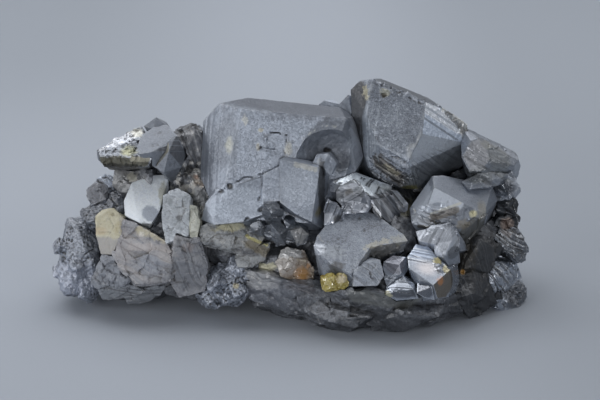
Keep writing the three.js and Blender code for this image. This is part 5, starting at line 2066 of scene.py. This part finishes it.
@dataclass
class Rock(Assembly):
    """The dark rock that carries everything: broken, angular, streaked and part metallic."""

    cell: float = 0.51
    fill: float = 0.3

    def finish(self) -> Mineral:
        """Bluish-grey rock, painted darker at the right as painted shade, with brown, orange and olive spots.

        Returns:
            The finish.
        """
        bed = Region((0, -20, 8), (45, 12, 10), 0.4)
        flakes = Region((-25, -3, 41), (6, 6, 8), 0.3)
        patches = (
            # Painted shade: the right end is darkened as the side turned from the light.
            spot((50, -14, 10), (22, 14, 18), 0.6, (36, 38, 41), 0.85, 0.5, -0.06),
            spot((24, -24, 4), (16, 9, 5), 0.6, (58, 60, 64), 0.6, 0.6, -0.06),
            spot((42.5, -14, 16), (4.5, 6, 6), 0.5, (72, 66, 54), 0.5, 1.4),
            spot((-25, -14, 14), (6, 6, 9), 0.5, (118, 120, 126), 0.7, 0.6),
            spot((-25, -3, 41), (6, 6, 7), 0.4, (124, 125, 129), 0.7, 0.8),
            spot((-23.4, -3.4, 40), (1.2, 1.6, 1.2), 0.5, (158, 140, 108), 0.6, 1.4),
            spot((-23, -3.5, 28.5), (7, 7, 7), 0.4, (136, 138, 142), 0.75, 1.2),
            spot((-22.5, -3.4, 29), (6, 6, 6), 0.2, (196, 194, 188), 0.75, 4),
            spot((-22, -3, 31), (2.4, 3, 1.8), 0.5, (184, 170, 156), 0.7, 1.8),
            spot((-21.8, -3.5, 28.1), (3, 4, 3), 0.3, (160, 164, 170), 0.6, 3),
            spot((-27.3, 1.6, 34.2), (1.6, 2.6, 1.2), 0.5, (160, 124, 104), 0.6, 1.6),
            spot((-23.4, -2.6, 32.4), (1.2, 1.6, 1), 0.5, (158, 118, 96), 0.6, 1.6),
            spot((-25.3, -2.2, 34.4), (1.7, 2.4, 1.5), 0.5, (34, 33, 34), 0.85, 0.9),
            spot((-41, -2, 31.8), (7, 6, 4), 0.4, (152, 152, 152), 0.7, 1.5),
            spot((-39.4, -3.2, 32.8), (2.4, 2.6, 1.4), 0.5, (186, 182, 164), 0.5, 2),
            spot((17, -27.4, 10.8), (4, 3, 2.6), 0.4, (112, 114, 112), 0.75, 0.5, -0.08, to=(28, -27.6, 9.6)),
            spot((-18.7, -11.4, 14.9), (0.9, 1.4, 1.1), 0.5, (198, 146, 66), 0.9, 1),
            spot((-5.6, -18, 14.6), (3.2, 3, 1.2), 0.5, (184, 180, 152), 0.8, 1.6),
            spot((42.6, -16, 12.4), (0.9, 1.4, 0.9), 0.5, (170, 126, 50), 0.8, 1.2),
            spot((-7.4, -20.6, 12), (6, 3.4, 3.4), 0.5, (184, 184, 184), 0.85, 1.2),
            spot((0, -21.8, 11.4), (2.2, 2.6, 1.4), 0.5, (70, 64, 66), 0.6, 1.2, to=(4.6, -23, 10.8)),
            spot((-7, -23, 8), (13, 8, 7), 0.5, (116, 120, 130), 0.4, 1),
            spot((30, -8, 27), (6, 6, 3), 0.5, (112, 106, 54), 0.5, 1.2),
        )
        lines = (
            Lines(bed, (0.25, 0.1, 0.96), 1.6, (58, 61, 66), 0.45, 0.03, 0.3, 3.4),
            Lines(bed, (-0.3, 0.1, 0.9), 1.3, (136, 140, 148), 0.3, -0.02, 0.2, 3),
            Lines(flakes, (0.9, 0.2, 0.25), 0.9, (168, 168, 168), 0.6, 0.04, 0.4, 1.2),
            Lines(flakes, (0.85, 0.3, 0.3), 1.1, (40, 38, 38), 0.6, 0.04, 0.3, 1.2),
            Lines(Region((46, -15, 13), (7, 7, 12), 0.3),
                  (0.85, 0.3, 0.3), 0.7, (98, 100, 104), 0.5, -0.03, 0.25, 3),
        )
        return Mineral(
            "rock",
            tint(64, 66, 71),
            tint(90, 93, 99),
            tint(116, 120, 127),
            tint(150, 153, 158),
            tint(32, 31, 31),
            metallic=0.4,
            roughness=0.46,
            ior=1.9,
            dust_and_shade=0.9,
            wear=0.4,
            patches=patches,
            lines=lines,
        )

    def skins(self) -> list[Dressed]:
        """The rock's skin, grown a little so that it closes round the roots of the crystals.

        Returns:
            The dressed skins.
        """
        low = Region((0, 0, 0), (70, 40, 5), 0.8)
        upper = Region((0, 6, 34), (70, 40, 18), 0.4)
        flakes = Region((-25, -2, 41), (6.5, 7, 8), 0.3)
        crumbs = Region((-22, -4, 28), (8, 7, 7), 0.3)
        reliefs = [
            Terraces(0.5, 251, steps=3),
            Striae(0.40, 257, flakes, across=(0.9, 0.2, 0.25), pitch=1.2, waver=0.8, lean=1.2),
            Shards(0.70, 258, crumbs, size=1.4),
            Shards(0.34, 252, size=4.2),
            Shards(0.40, 253, upper, size=2.6),
            Striae(0.12, 254, across=(0.25, 0.1, 0.96), pitch=1.3, waver=2.2, lean=1),
            Shards(0.3, 256, low, size=2.2),
            Grit(0.08, 255, size=1.2),
        ]
        return [(Skin("matrix_rock", self.cell, reliefs, grow=self.fill), self.finish(), "rock")]


# -------- studio


@dataclass
class Lamp:
    """One soft panel.

    Args:
        name: Its name.
        bearing, height: Degrees from the viewer's side and above the floor.
        distance, size: Metres.
        power: Watts.
        colour: Linear colour.
    """

    name: str
    bearing: float
    height: float
    distance: float
    size: float
    power: float
    colour: Colour = (0.99, 1.0, 1.02)

    def build(self) -> None:
        """Places the panel so that it faces the specimen."""
        side, up = math.radians(self.bearing), math.radians(self.height)
        way = Vector((math.cos(up) * math.sin(side), -math.cos(up) * math.cos(side), math.sin(up)))
        data = bpy.data.lights.new(self.name, "AREA")
        data.shape = "DISK"
        data.size = self.size
        data.energy = self.power
        data.color = self.colour
        lamp = bpy.data.objects.new(self.name, data)
        lamp.location = Vector((0.0, 0.0, 0.02)) + way * self.distance
        lamp.rotation_euler = (-way).to_track_quat("-Z", "Y").to_euler()
        bpy.context.scene.collection.objects.link(lamp)


@dataclass
class Studio:
    """Pale floor, soft panels, even surroundings and the camera."""

    aim: Vec = (2.5, 0.0, 25.5)
    distance: float = 422.0
    tilt: float = 20.0
    lens: float = 100.0
    sensor: float = 36.0
    clips: tuple[float, float] = (0.01, 20.0)
    floor_size: float = 4.0
    ambient: float = 0.075
    lamps: tuple[Lamp, ...] = (
        Lamp("high right panel", 118.0, 66.0, 0.70, 0.50, 0.58),
        Lamp("high left panel", -116.0, 66.0, 0.70, 0.50, 0.76),
        Lamp("high back panel", 180.0, 66.0, 0.70, 0.50, 1.15),
        Lamp("back right panel", 142.0, 36.0, 0.70, 0.70, 0.98),
        Lamp("back left panel", -140.0, 44.0, 0.70, 0.60, 1.26),
        Lamp("front panel", 0.0, 9.0, 0.70, 0.18, 1.02),
        Lamp("front left panel", -42.0, 14.0, 0.70, 0.26, 0.80),
        Lamp("left panel", -80.0, 12.0, 0.70, 0.26, 0.92),
        Lamp("right panel", 85.0, 24.0, 0.70, 0.30, 0.38),
        Lamp("front right panel", 36.0, 32.0, 0.70, 0.26, 0.25),
    )

    def floor(self) -> None:
        """A square plate in a faint weave, with painted shade making it a little darker at the right and
        behind at the left.
        """
        half = self.floor_size / 2.0
        corners = [(x * half, y * half, 0.0) for x, y in ((-1, -1), (1, -1), (1, 1), (-1, 1))]
        mesh = bpy.data.meshes.new("floor")
        mesh.from_pydata(corners, [], [(0, 1, 2, 3)])
        floor = bpy.data.objects.new("floor", mesh)
        bpy.context.scene.collection.objects.link(floor)
        s = Shader("pale floor")
        weave = s.mix(s.noise(0.5, 1.0, 5.0), tint(170, 176, 185), tint(174, 180, 189))
        right = s.measure("DOT_PRODUCT", s.place, (1.0, 0.0, 0.0))
        behind = s.measure("DOT_PRODUCT", s.place, (0.0, 1.0, 0.0)).ramp(60.0, 240.0)
        # Painted shade: the floor darkens towards the right and behind at the left.
        shade = 0.55 * right.ramp(10.0, 90.0) + 0.55 * behind * (0.0 - right).ramp(0.0, 100.0)
        s.feed(s.surface.inputs["Base Color"], s.mix(shade, weave, tint(146, 152, 160)))
        s.surface.inputs["Roughness"].default_value = 0.95
        s.surface.inputs["Specular IOR Level"].default_value = 0.1
        mesh.materials.append(s.material)

    def surroundings(self) -> None:
        """Even, faintly blue light from all round."""
        world = bpy.data.worlds.new("studio air")
        world.use_nodes = True
        air = world.node_tree.nodes["Background"]
        air.inputs[0].default_value = (0.92, 0.97, 1.06, 1.0)
        air.inputs[1].default_value = self.ambient
        bpy.context.scene.world = world

    def camera(self) -> None:
        """A long lens that looks down at the aim."""
        data = bpy.data.cameras.new("camera")
        data.lens = self.lens
        data.sensor_width = self.sensor
        data.clip_start, data.clip_end = self.clips
        camera = bpy.data.objects.new("camera", data)
        angle = math.radians(self.tilt)
        back = Vector((0.0, -math.cos(angle), math.sin(angle)))
        camera.location = (Vector(self.aim) + back * self.distance) * MM
        camera.rotation_euler = (math.radians(90.0 - self.tilt), 0.0, 0.0)
        bpy.context.scene.collection.objects.link(camera)
        bpy.context.scene.camera = camera

    def build(self) -> None:
        """Makes the floor, lamps, surroundings and camera."""
        bpy.context.scene.view_settings.view_transform = "Standard"
        self.floor()
        for lamp in self.lamps:
            lamp.build()
        self.surroundings()
        self.camera()
        LOG.info("studio ready")


def main() -> None:
    """Builds the studio and every sub-assembly in order."""
    logging.basicConfig(level=logging.INFO, format="%(message)s")
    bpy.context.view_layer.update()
    Studio().build()
    kinds = (Block, Peak, Wedge, Front, Bright, RightEnd, UpperLeft, Galena, Spar, SmallCrystals, Back, Rock)
    for kind in kinds:
        kind().make()


if __name__ == "__main__":
    main()
